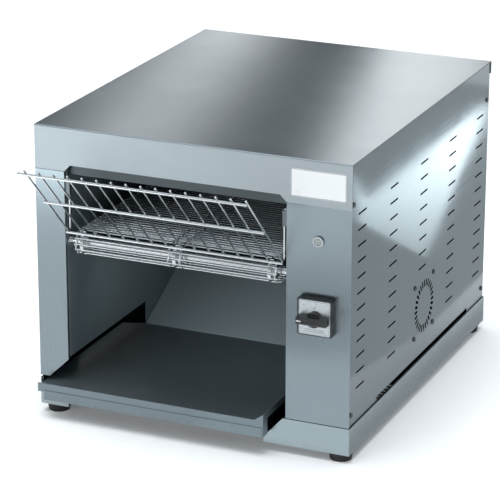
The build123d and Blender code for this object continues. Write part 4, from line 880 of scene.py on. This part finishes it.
class GeometryPen(Pen):
    """Writes one Geometry Nodes tree with named inputs and runs it on points."""

    def __init__(self, name: str, sizes: dict[str, float]) -> None:
        """Makes the tree.

        Args:
            name: The tree's name.
            sizes: Each named input and its value.
        """
        tree = bpy.data.node_groups.new(name, "GeometryNodeTree")
        tree.is_modifier = True
        add_socket(tree, "Geometry", Kind.GEOMETRY)
        add_socket(tree, "Geometry", Kind.GEOMETRY, "OUTPUT")
        self.values = {
            add_socket(tree, label, Kind.FLOAT).identifier: size for label, size in sizes.items()
        }
        super().__init__(tree)
        self.source = self.add("NodeGroupInput").outputs

    def vector(self, x: Value, y: Value = 0.0) -> Socket:
        """A level vector."""
        return self.add("ShaderNodeCombineXYZ", {0: x, 1: y}).outputs[0]

    def tube(self, curve: Node, radius: str, sides: int) -> Socket:
        """Makes a round tube along a curve, with closed ends.

        Args:
            curve: The node that gives the curve.
            radius: The named input for the tube's radius.
            sides: How many sides it has.

        Returns:
            The tube.
        """
        circle = {"Resolution": sides, "Radius": self.source[radius]}
        ring = self.add("GeometryNodeCurvePrimitiveCircle", circle).outputs["Curve"]
        inputs = {"Curve": curve.outputs[0], "Profile Curve": ring, "Fill Caps": True}
        return self.add("GeometryNodeCurveToMesh", inputs).outputs["Mesh"]

    def moved(self, geometry: Socket, **moves: Value) -> Socket:
        """Moves or turns geometry."""
        return self.add("GeometryNodeTransform", {"Geometry": geometry, **moves}).outputs[0]

    def on_points(self, instance: Socket, **choices: Socket) -> Socket:
        """Places an instance on the points that the tree is run on."""
        inputs = {"Points": self.source["Geometry"], "Instance": instance, **choices}
        return self.add("GeometryNodeInstanceOnPoints", inputs).outputs[0]

    def join(self, *parts: Socket) -> Socket:
        """Joins geometry.

        Args:
            parts: What to join.

        Returns:
            The joined geometry.
        """
        node = self.add("GeometryNodeJoinGeometry")
        for part in parts:
            self.tree.links.new(part, node.inputs[0])
        return node.outputs[0]

    def run(
        self, name: str, points: Sequence[Point], result: Socket, material: Material
    ) -> Piece:
        """Closes the tree, runs it on a mesh of points and keeps the result as a plain mesh.

        Args:
            name: The new piece's name.
            points: The vertices that the tree is run on.
            result: The geometry to put out, with its instances not yet realized.
            material: The material of the whole piece.

        Returns:
            The piece.
        """
        real = self.add("GeometryNodeRealizeInstances", {0: result}).outputs[0]
        dressed = {"Geometry": real, "Material": material}
        shown = self.add("GeometryNodeSetMaterial", dressed).outputs[0]
        self.add("NodeGroupOutput", {"Geometry": shown})
        mesh = bpy.data.meshes.new(name)
        mesh.from_pydata(points, [], [])
        piece = new_object(name, mesh)
        modifier = piece.modifiers.new(self.tree.name, "NODES")
        modifier.node_group = self.tree
        for identifier, value in self.values.items():
            modifier[identifier] = value
        flatten_modifiers(piece)
        smooth_by_angle(piece.data, ROUND_ANGLE)
        return piece


# ---- the wire belt


@dataclass
class WireBelt(Part):
    """The conveyor belt: cross wires joined by flat wire links, round two toothed wheels."""

    pitch: float = 9.0 * MM
    teeth: int = 12
    wire_radius: float = 1.2 * MM
    wire_sides: int = 10
    link_wire_radius: float = 0.8 * MM
    link_wire_sides: int = 6
    link_round: float = 1.65 * MM
    round_share: float = 0.999
    round_steps: int = 4
    link_side: float = 0.95 * MM
    edge_inset: float = 3.0 * MM
    from_middle: float = 9.0 * MM

    def centres(self) -> list[Point]:
        """Finds the middle of every cross wire: top run, rear wheel, bottom run, front wheel.

        Returns:
            The middles, in order round the belt.
        """
        x, _, z = middle_of(*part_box("conveyor_belt"))
        radius = self.pitch / (2 * math.sin(math.pi / self.teeth))
        front = self.shaft_y("idler_shaft_spin")
        rear = self.shaft_y("drive_shaft_spin")
        run = round((rear - front) / self.pitch)
        places = [(front + n * self.pitch, z + radius) for n in range(run)]
        places += self.wrap(rear, z, radius, math.pi / 2)
        places += [(rear - n * self.pitch, z - radius) for n in range(run)]
        places += self.wrap(front, z, radius, -math.pi / 2)
        return [(x, y, height) for y, height in places]

    @staticmethod
    def shaft_y(joint: str) -> float:
        """How far back a shaft's axis lies."""
        return Vector(next(j["pos_m"] for j in frame["joints"] if j["name"] == joint)).y

    def wrap(self, y: float, z: float, radius: float, start: float) -> list[tuple[float, float]]:
        """The wires on one wheel, turning from the start angle."""
        turns = [start - n * 2 * math.pi / self.teeth for n in range(self.teeth // 2)]
        return [(y + radius * math.cos(turn), z + radius * math.sin(turn)) for turn in turns]

    def rod(self, pen: GeometryPen) -> Socket:
        """Makes one cross wire.

        Args:
            pen: The belt's tree.

        Returns:
            The wire.
        """
        half = pen.source["Half Width"]
        ends = {"Start": pen.vector(pen.math("MULTIPLY", half, -1.0)), "End": pen.vector(half)}
        line = pen.add("GeometryNodeCurvePrimitiveLine", ends)
        return pen.tube(line, "Wire Radius", self.wire_sides)

    def link(self, pen: GeometryPen) -> Socket:
        """Makes one link: a loop of wire that stands on edge.

        Args:
            pen: The belt's tree.

        Returns:
            The link.
        """
        corner, pitch = pen.source["Link Round"], pen.source["Pitch"]
        wide = pen.math("MULTIPLY", corner, 2.0)
        sides = {"Width": wide, "Height": pen.math("ADD", pitch, wide)}
        loop = pen.add("GeometryNodeCurvePrimitiveQuadrilateral", sides)
        rounding = {
            "Curve": loop.outputs[0],
            "Radius": pen.math("MULTIPLY", corner, self.round_share),
            "Count": self.round_steps,
        }
        rounded = pen.add("GeometryNodeFilletCurve", rounding, mode="POLY")
        wire = pen.tube(rounded, "Link Wire Radius", self.link_wire_sides)
        return pen.moved(wire, Rotation=QUARTER_TURN_Y)

    @staticmethod
    def heading(pen: GeometryPen, number: Socket, count: int) -> Socket:
        """Turns each wire so that its links point at the next wire.

        Args:
            pen: The belt's tree.
            number: The wire's number.
            count: How many wires there are.

        Returns:
            The rotation.
        """
        onward = pen.math("MODULO", pen.math("ADD", number, 1.0), float(count))
        here = pen.add("GeometryNodeInputPosition").outputs[0]
        there = pen.add(
            "GeometryNodeFieldAtIndex",
            {"Index": onward, "Value": here},
            data_type="FLOAT_VECTOR",
            domain="POINT",
        ).outputs[0]
        step = pen.add("ShaderNodeVectorMath", {0: there, 1: here}, operation="SUBTRACT")
        inputs = {"Vector": step.outputs[0]}
        return pen.add(
            "FunctionNodeAlignRotationToVector", inputs, axis="Y", pivot_axis="X"
        ).outputs[0]

    def build(self) -> None:
        """Makes the belt, with the links of odd and even wires side by side."""
        low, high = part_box("conveyor_belt")
        half = (high.x - low.x) / 2
        edge = half - self.edge_inset
        centres = self.centres()
        pen = GeometryPen(
            "wire_belt",
            {
                "Half Width": half,
                "Wire Radius": self.wire_radius,
                "Link Wire Radius": self.link_wire_radius,
                "Link Round": self.link_round,
                "Pitch": self.pitch,
            },
        )
        rod, link = self.rod(pen), self.link(pen)
        ahead = pen.math("MULTIPLY", pen.source["Pitch"], 0.5)
        number = pen.add("GeometryNodeInputIndex").outputs[0]
        turned = self.heading(pen, number, len(centres))
        odd = pen.math("MODULO", number, 2.0)
        rows = []
        for side, chosen in ((-1.0, pen.math("LESS_THAN", odd, 0.5)), (1.0, odd)):
            links = [
                pen.moved(link, Translation=pen.vector(column + side * self.link_side, ahead))
                for column in (-edge, -self.from_middle, self.from_middle, edge)
            ]
            strand = pen.join(rod, *links)
            rows.append(pen.on_points(strand, Selection=chosen, Rotation=turned))
        piece = pen.run("wire_belt", centres, pen.join(*rows), self.finishes["belt_wire"])
        settle(piece, Body.CHASSIS, "conveyor_belt")


# ---- heaters


@dataclass
class HeaterCoils(Part):
    """The resistance wire wound inside each quartz tube."""

    radius: float = 2.5 * MM
    wire_radius: float = 0.3 * MM
    wire_sides: int = 5
    pitch: float = 3.2 * MM
    steps_per_turn: int = 9
    digits: int = 6

    def build(self) -> None:
        """Makes one helix in each tube."""
        low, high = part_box("heater_coils")
        length = high.x - low.x
        sizes = {
            "Length": length,
            "Coil Radius": self.radius - self.wire_radius,
            "Wire Radius": self.wire_radius,
            "Turns": length / self.pitch,
        }
        pen = GeometryPen("heater_coils", sizes)
        spiral = {
            "Resolution": self.steps_per_turn,
            "Rotations": pen.source["Turns"],
            "Start Radius": pen.source["Coil Radius"],
            "End Radius": pen.source["Coil Radius"],
            "Height": pen.source["Length"],
        }
        helix = pen.add("GeometryNodeCurveSpiral", spiral)
        wire = pen.tube(helix, "Wire Radius", self.wire_sides)
        coils = pen.on_points(pen.moved(wire, Rotation=QUARTER_TURN_Y))
        starts = [(low.x, y, z) for y in self.middles(1) for z in self.middles(2)]
        piece = pen.run("heater_windings", starts, coils, self.finishes["coil_alloy"])
        settle(piece, Body.CHASSIS, "heater_coils")

    def middles(self, axis: int) -> list[float]:
        """Finds where the separate coils lie along one axis.

        Args:
            axis: 1 for Y or 2 for Z.

        Returns:
            The different middles, in order.
        """
        shape = merged_copy("heater_coils")
        left = set(shape.verts)
        middles = set()
        while left:
            grown, edge = set(), [left.pop()]
            while edge:
                vertex = edge.pop()
                grown.add(vertex)
                near = {link.other_vert(vertex) for link in vertex.link_edges} & left
                left -= near
                edge.extend(near)
            values = [vertex.co[axis] for vertex in grown]
            middles.add(round((min(values) + max(values)) / 2, self.digits))
        shape.free()
        return sorted(middles)


# ---- details of the front


@dataclass
class FrontMarks(Part):
    """Flat marks printed on a face that looks forward."""

    name: str
    slot: str
    finish: str
    body: Body = Body.CHASSIS
    thickness: float = 0.06 * MM
    curve_steps: int = 4

    def __post_init__(self) -> None:
        """Starts an empty piece."""
        self.shape = bmesh.new()

    def bar(self, x: float, z: float, width: float, height: float, y: float) -> None:
        """Adds a thin bar whose middle is at (x, z) and whose back lies on the face at y."""
        add_box(self.shape, (x, y - self.thickness / 2, z), (width, self.thickness, height))

    def border(self, node: str, inset: float, line: float) -> None:
        """Adds a rectangular line just inside the front face of a node.

        Args:
            node: The node's name.
            inset: How much shorter and lower than the node the line's rectangle is.
            line: The line's width.
        """
        low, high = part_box(node)
        x, _, z = middle_of(low, high)
        width, height = high.x - low.x - inset, high.z - low.z - inset
        for side in (-1.0, 1.0):
            self.bar(x, z + side * (height - line) / 2, width, line, low.y)
            self.bar(x + side * (width - line) / 2, z, line, height - 2 * line, low.y)

    def figure(self, text: str, place: Point, size: float) -> None:
        """Adds a figure, such as the number of a switch position.

        Args:
            text: The figure.
            place: Its middle, on the face.
            size: Its height.
        """
        curve = bpy.data.curves.new(f"{self.name}_{text}", "FONT")
        curve.body, curve.size = text, size
        curve.align_x, curve.align_y = "CENTER", "CENTER"
        curve.extrude, curve.resolution_u = self.thickness / 2, self.curve_steps
        writing = new_object(curve.name, curve)
        mesh = evaluated_mesh(writing)
        bpy.data.objects.remove(writing)
        x, y, z = place
        upright = Matrix.Rotation(math.pi / 2, 4, "X")
        mesh.transform(Matrix.Translation((x, y - self.thickness / 2, z)) @ upright)
        self.shape.from_mesh(mesh)

    def build(self) -> None:
        """Makes the piece."""
        piece = piece_of(self.name, self.shape)
        dress(piece, self.finishes[self.finish])
        settle(piece, self.body)


@dataclass
class Controls(Part):
    """Marks of the switch and the label."""

    line: float = 0.5 * MM
    plate_inset: float = 3.0 * MM
    plate_line: float = 0.25 * MM
    rule_length: float = 30.0 * MM
    rule_heights: tuple[float, ...] = (5.0 * MM, 8.0 * MM)
    figure_size: float = 5.0 * MM
    figure_reach: float = 17.0 * MM
    positions: tuple[tuple[str, float], ...] = (("0", 180.0), ("1", 135.0), ("2", 90.0))
    index_length: float = 7.0 * MM
    index_width: float = 1.6 * MM
    index_inset: float = 1.0 * MM
    label_inset: float = 1.2 * MM

    def build(self) -> None:
        """Makes every detail."""
        self.switch_marks()
        self.knob_index()
        self.label_line()

    def switch_marks(self) -> None:
        """The figures beside the knob, a line round the plate and two rules below."""
        low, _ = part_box("switch_plate")
        x, _, z = middle_of(*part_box("switch_knob"))
        marks = FrontMarks(self.finishes, "switch_figures", "black_plastic", "mark_ink")
        marks.border("switch_plate", self.plate_inset, self.plate_line)
        for text, degrees in self.positions:
            turn = math.radians(degrees)
            reach = self.figure_reach
            place = (x + reach * math.cos(turn), low.y, z + reach * math.sin(turn))
            marks.figure(text, place, self.figure_size)
        for height in self.rule_heights:
            marks.bar(x, low.z + height, self.rule_length, self.line, low.y)
        marks.build()

    def knob_index(self) -> None:
        """The white line at the pointing end of the grip."""
        low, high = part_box("switch_knob")
        marks = FrontMarks(self.finishes, "knob_index", "label_film", "mark_white", Body.SWITCH)
        x = low.x + self.index_length / 2 + self.index_inset
        marks.bar(x, (low.z + high.z) / 2, self.index_length, self.index_width, low.y)
        marks.build()

    def label_line(self) -> None:
        """A fine line round the blank label."""
        marks = FrontMarks(self.finishes, "label_line", "grey_plastic", "mark_ink")
        marks.border("label_plate", self.label_inset, self.line)
        marks.build()


@dataclass
class LampLens(Part):
    """The indicator lamp's domed lens with two crossed grooves."""

    crown: float = 2.6 * MM
    roundness: float = 0.98
    groove: float = 0.9 * MM
    groove_depth: float = 0.7 * MM
    rings: int = 10
    segments: int = 48

    def cut(self, dx: float, dz: float) -> float:
        """How deep the grooves are at a place on the lens."""
        return self.groove_depth * max(0.0, 1.0 - min(abs(dx), abs(dz)) / self.groove)

    @staticmethod
    def bridge(shape: Shape, inner: Ring, outer: Ring) -> None:
        """Joins two rings of vertices, or a lone vertex and a ring.

        Args:
            shape: The shape that they are in.
            inner: The inner ring, or the one vertex.
            outer: The outer ring.
        """
        for n, vertex in enumerate(outer):
            onward = (n + 1) % len(outer)
            near = inner if len(inner) == 1 else [inner[n], inner[onward]]
            shape.faces.new((*near, outer[onward], vertex))

    def build(self) -> None:
        """Makes the lens."""
        low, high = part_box("lamp_lens")
        x, _, z = middle_of(low, high)
        radius = (high.x - low.x) / 2
        turns = [2 * math.pi * n / self.segments for n in range(self.segments)]
        shape = bmesh.new()
        inner = [shape.verts.new((x, low.y + self.groove_depth, z))]
        for ring in range(1, self.rings + 1):
            share = ring / self.rings
            reach = radius * share
            front = low.y + self.crown * (1.0 - math.sqrt(1.0 - self.roundness * share**2))
            outer = []
            for turn in turns:
                dx, dz = reach * math.cos(turn), reach * math.sin(turn)
                outer.append(shape.verts.new((x + dx, front + self.cut(dx, dz), z + dz)))
            self.bridge(shape, inner, outer)
            inner = outer
        back = [shape.verts.new((vertex.co.x, high.y, vertex.co.z)) for vertex in inner]
        self.bridge(shape, inner, back)
        shape.faces.new(back)
        bmesh.ops.recalc_face_normals(shape, faces=shape.faces)
        piece = piece_of("lamp_lens_moulded", shape)
        smooth_by_angle(piece.data, ROUND_ANGLE)
        dress(piece, self.finishes["lens_milk"])
        settle(piece, Body.CHASSIS, "lamp_lens")


@dataclass
class TrayHem(Part):
    """The folded hem along the lower part of the tray's lip."""

    height: float = 15.0 * MM
    proud: float = 1.0 * MM
    inset: float = 1.5 * MM
    notch: float = 11.5 * MM
    edge: float = 0.45 * MM
    segments: int = 3

    def build(self) -> None:
        """Makes the hem."""
        low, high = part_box("collecting_tray")
        start, end = low.x + self.notch, high.x - self.inset
        middle = ((start + end) / 2, low.y - self.proud / 2, low.z + self.height / 2)
        shape = bmesh.new()
        add_box(shape, middle, (end - start, self.proud, self.height))
        piece = piece_of("tray_hem", shape)
        ease_edges(piece, self.edge, self.segments)
        grain_uv(piece.data, Grain.ALONG_X)
        dress(piece, self.finishes["tray_steel"])
        settle(piece, Body.TRAY)


# ---- kept CAD nodes


WORN: dict[str, tuple[str, ...]] = {
    "foot_rubber": ("feet",),
    "screw_steel": ("panel_screws", "fan_screws"),
    "mineral_board": ("insulation_board",),
    "quartz": ("heater_tubes",),
    "steatite": ("heater_caps",),
    "turned_steel": (
        "belt_bed", "shaft_bushes", "idler_shaft", "drive_shaft", "idler_wheels",
        "drive_wheels", "driven_sprocket", "motor_sprocket",
    ),
    "chain_steel": ("drive_chain",),
    "bracket_steel": ("tray_runners", "motor_bracket"),
    "cast_zinc": ("gearbox",),
    "motor_enamel": ("motor_can",),
    "black_plastic": ("fan_frame", "fan_rotor", "cable_gland", "gland_nut"),
    "grey_plastic": ("switch_contacts", "terminal_block"),
    "bezel_chrome": ("lamp_bezel",),
    "chromed_wire": ("rack_wires", "rack_rails", "rack_legs"),
    "clip_steel": ("rack_clips",),
}


@dataclass
class Nodes(Part):
    """CAD nodes that keep their own mesh and get a finish."""

    def build(self) -> None:
        """Gives each node its finish."""
        for finish, nodes in WORN.items():
            for node in nodes:
                dress(frame["nodes"][node], self.finishes[finish])
                LOG.info("node %s in %s", node, finish)


# ---- studio


def oblong(west: float, near: float, east: float, far: float) -> Outline:
    """The corners of a rectangle on the floor."""
    return (west, near), (east, near), (east, far), (west, far)


def lay_flat(name: str, corners: Outline, height: float, material: Material) -> Piece:
    """Lays one level face, which is part of the studio.

    Args:
        name: Its name.
        corners: Its corners, from above.
        height: How high it lies.
        material: Its material.

    Returns:
        The face's object.
    """
    mesh = bpy.data.meshes.new(name)
    mesh.from_pydata([(x, y, height) for x, y in corners], [], [tuple(range(len(corners)))])
    sheet = new_object(name, mesh)
    dress(sheet, material)
    return sheet


def facing(ahead: Vector, roll: float) -> Euler:
    """The rotation of a lamp or camera that looks ahead and leans by some degrees."""
    level = ahead.to_track_quat("-Z", "Y").to_matrix()
    return (level @ Matrix.Rotation(math.radians(roll), 3, "Z")).to_euler()


@dataclass(frozen=True)
class Strip:
    """One soft rectangular light."""

    name: str
    middle: Point
    width: float
    height: float
    radiance: float
    lean: float = 0.0
    aim: Optional[Point] = None
    mirrored: bool = True

    def build(self) -> None:
        """Hangs the light, facing its aim or the front."""
        data = bpy.data.lights.new(self.name, "AREA")
        data.shape = "RECTANGLE"
        data.size, data.size_y = self.width, self.height
        data.energy = self.radiance * math.pi * self.width * self.height
        lamp = new_object(self.name, data)
        lamp.location = self.middle
        ahead = Vector((0.0, -1.0, 0.0))
        if self.aim:
            ahead = Vector(self.aim) - Vector(self.middle)
        lamp.rotation_euler = facing(ahead, self.lean)
        lamp.visible_camera = False
        lamp.visible_glossy = self.mirrored


@dataclass(frozen=True)
class Card:
    """A lit sheet lying on the floor, seen only as a reflection in polished metal."""

    name: str
    corners: Outline
    glow: float
    far_glow: Optional[float] = None
    tone: Colour = (0.90, 0.97, 1.0)
    lift: float = 0.5 * MM

    def brightness(self, pen: Pen) -> Union[float, Socket]:
        """The card's glow, graded from its near edge to its far edge when it has a far glow.

        Args:
            pen: The card's material.

        Returns:
            The strength of its light.
        """
        if self.far_glow is None:
            return self.glow
        place = pen.add("ShaderNodeTexCoord").outputs["Object"]
        depth = pen.add("ShaderNodeSeparateXYZ", {0: place}).outputs["Y"]
        depths = [y for _, y in self.corners]
        return pen.mapped(depth, (min(depths), max(depths)), (self.glow, self.far_glow))

    def build(self) -> None:
        """Lays the card."""
        pen = MaterialPen(self.name)
        light = {"Color": self.tone, "Strength": self.brightness(pen)}
        material = pen.show(pen.add("ShaderNodeEmission", light))
        card = lay_flat(self.name, self.corners, self.lift, material)
        card.visible_camera = card.visible_diffuse = card.visible_shadow = False


STRIPS = (
    Strip("strip_left", (-0.71, 1.10, 0.95), width=0.16, height=1.4, radiance=1.0, lean=-32.0),
    Strip("strip_right", (-0.20, 1.10, 0.95), width=0.22, height=1.4, radiance=1.2, lean=-20.0),
    Strip("strip_far", (0.25, 1.10, 0.95), width=0.5, height=1.4, radiance=0.38, lean=-20.0),
    Strip(
        "strip_east", (1.10, 0.80, 0.95), width=0.30, height=1.4, radiance=0.8, lean=20.0,
        aim=(0.0, 0.0, 0.95),
    ),
    Strip(
        "front_fill", (-1.2, -3.2, 1.0), width=1.2, height=0.9, radiance=5.0, mirrored=False,
        aim=(-0.05, 0.1, 0.16),
    ),
    Strip(
        "tunnel_fill", (0.02, -0.17, 0.225), width=0.25, height=0.05, radiance=5.5,
        aim=(0.0, 0.15, 0.12), mirrored=False,
    ),
)

CARDS = (
    Card(
        "side_card",
        ((0.450, 0.640), (0.630, 0.775), (0.757, 1.063), (0.664, 0.900), (0.665, 1.640)),
        glow=1.5,
        far_glow=6.6,
    ),
    Card(
        "wall_shade",
        ((0.40, -0.15), (0.85, -0.15), (0.85, 1.75), (0.33, 1.75), (0.33, 0.30)),
        glow=0.78,
        lift=0.2 * MM,
    ),
    Card(
        "pan_shade", ((0.256, -0.34), (0.297, -0.25), (0.297, 0.50), (0.256, 0.50)), glow=0.50
    ),
    Card("front_shade", oblong(-0.22, -1.02, 0.12, -0.62), glow=0.65),
    Card("left_card", oblong(-1.4, -1.9, -0.58, -1.20), glow=4.5),
    Card("near_card", oblong(0.0, -0.52, 0.5, -0.27), glow=1.3),
)


@dataclass
class Studio:
    """Floor, lights, world and camera."""

    corner: Point = (1.729, -3.168, 1.514)
    azimuth: float = 23.61
    elevation: float = 19.44
    roll: float = 0.07
    focal_pixels: float = 2571.0
    image_pixels: float = 500.0
    sensor: float = 36.0
    clip: tuple[float, float] = (0.1, 60.0)
    floor_half: float = 14.0
    floor_tone: Colour = (0.93, 0.93, 0.93)
    floor_glow: float = 0.10
    world_tone: Colour = (0.84, 0.93, 1.0)
    world_strength: tuple[float, float] = (0.10, 0.42)
    world_turn: tuple[float, float] = (0.75, 0.0)
    zenith: float = 0.8
    zenith_band: tuple[float, float] = (0.62, 0.96)
    horizon_band: tuple[float, float] = (0.14, 0.06)
    sun_strength: float = 1.9
    sun_softness: float = 42.0
    sun_lean: tuple[float, float] = (5.0, -4.0)

    def build(self) -> None:
        """Sets up the studio."""
        scene = bpy.context.scene
        scene.view_settings.view_transform = "Standard"
        self.world(scene)
        self.floor()
        self.sun()
        for light in (*STRIPS, *CARDS):
            light.build()
        scene.camera = self.camera()

    def world(self, scene: bpy.types.Scene) -> None:
        """Makes a faintly cool sky with a white horizon, darker behind the object than elsewhere.

        Args:
            scene: The scene that gets it.
        """
        scene.world = bpy.data.worlds.new("studio")
        scene.world.use_nodes = True
        pen = Pen(scene.world.node_tree)
        heading = pen.add("ShaderNodeTexCoord").outputs["Generated"]
        parts = pen.add("ShaderNodeSeparateXYZ", {0: heading}).outputs
        spread = pen.mapped(parts["Y"], self.world_turn, self.world_strength, smooth=True)
        crown = pen.mapped(parts["Z"], self.zenith_band, (0.0, self.zenith), smooth=True)
        low_band = pen.mapped(parts["Z"], self.horizon_band, smooth=True)
        lit = {"Color": self.world_tone, "Strength": pen.math("ADD", spread, crown)}
        sky = pen.add("ShaderNodeBackground", lit)
        white = pen.add("ShaderNodeBackground", {"Color": WHITE, "Strength": 1.0})
        rays = pen.add("ShaderNodeLightPath").outputs
        mirrored = pen.math("MULTIPLY", rays["Is Glossy Ray"], low_band)
        seen = pen.math("MAXIMUM", rays["Is Camera Ray"], rays["Is Transmission Ray"], mirrored)
        both = pen.add("ShaderNodeMixShader", {0: seen, 1: sky.outputs[0], 2: white.outputs[0]})
        pen.add("ShaderNodeOutputWorld", {"Surface": both.outputs[0]})

    def floor(self) -> None:
        """A pale floor that the object stands on."""
        pen = MaterialPen("floor")
        matt = pen.add("ShaderNodeBsdfDiffuse", {"Color": self.floor_tone})
        rays = pen.add("ShaderNodeLightPath").outputs
        ways = (rays[f"Is {way} Ray"] for way in ("Camera", "Glossy", "Transmission"))
        strength = pen.math("MULTIPLY", pen.math("MAXIMUM", *ways), self.floor_glow)
        glow = pen.add("ShaderNodeEmission", {"Strength": strength})
        both = pen.add("ShaderNodeAddShader", {0: matt.outputs[0], 1: glow.outputs[0]})
        half = self.floor_half
        lay_flat("floor", oblong(-half, -half, half, half), 0.0, pen.show(both))

    def sun(self) -> None:
        """One very soft light from above and behind."""
        data = bpy.data.lights.new("overhead", "SUN")
        data.energy = self.sun_strength
        data.angle = math.radians(self.sun_softness)
        lamp = new_object("overhead", data)
        lamp.rotation_euler = (*(math.radians(lean) for lean in self.sun_lean), 0.0)
        lamp.visible_glossy = False

    def camera(self) -> Piece:
        """Makes the main camera.

        Returns:
            The camera.
        """
        data = bpy.data.cameras.new("camera")
        data.lens = self.focal_pixels * self.sensor / self.image_pixels
        data.sensor_width = self.sensor
        data.clip_start, data.clip_end = self.clip
        camera = new_object("camera", data)
        low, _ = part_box("base_pan")
        camera.location = low + Vector(self.corner)
        turn, rise = math.radians(self.azimuth), math.radians(self.elevation)
        level = math.cos(rise)
        back = Vector((math.sin(turn) * level, -math.cos(turn) * level, math.sin(rise)))
        camera.rotation_euler = facing(-back, self.roll)
        return camera


# ---- the object


def main() -> None:
    """Builds the looks, piece by piece."""
    logging.basicConfig(level=logging.INFO, format="%(message)s")
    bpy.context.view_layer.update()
    Studio().build()
    finishes = build_finishes()
    Nodes(finishes).build()
    for sheet in SHEETS:
        sheet.build(finishes)
    for part in (WireBelt, HeaterCoils, Controls, LampLens, TrayHem):
        part(finishes).build()
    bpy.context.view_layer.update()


if __name__ == "__main__":
    main()
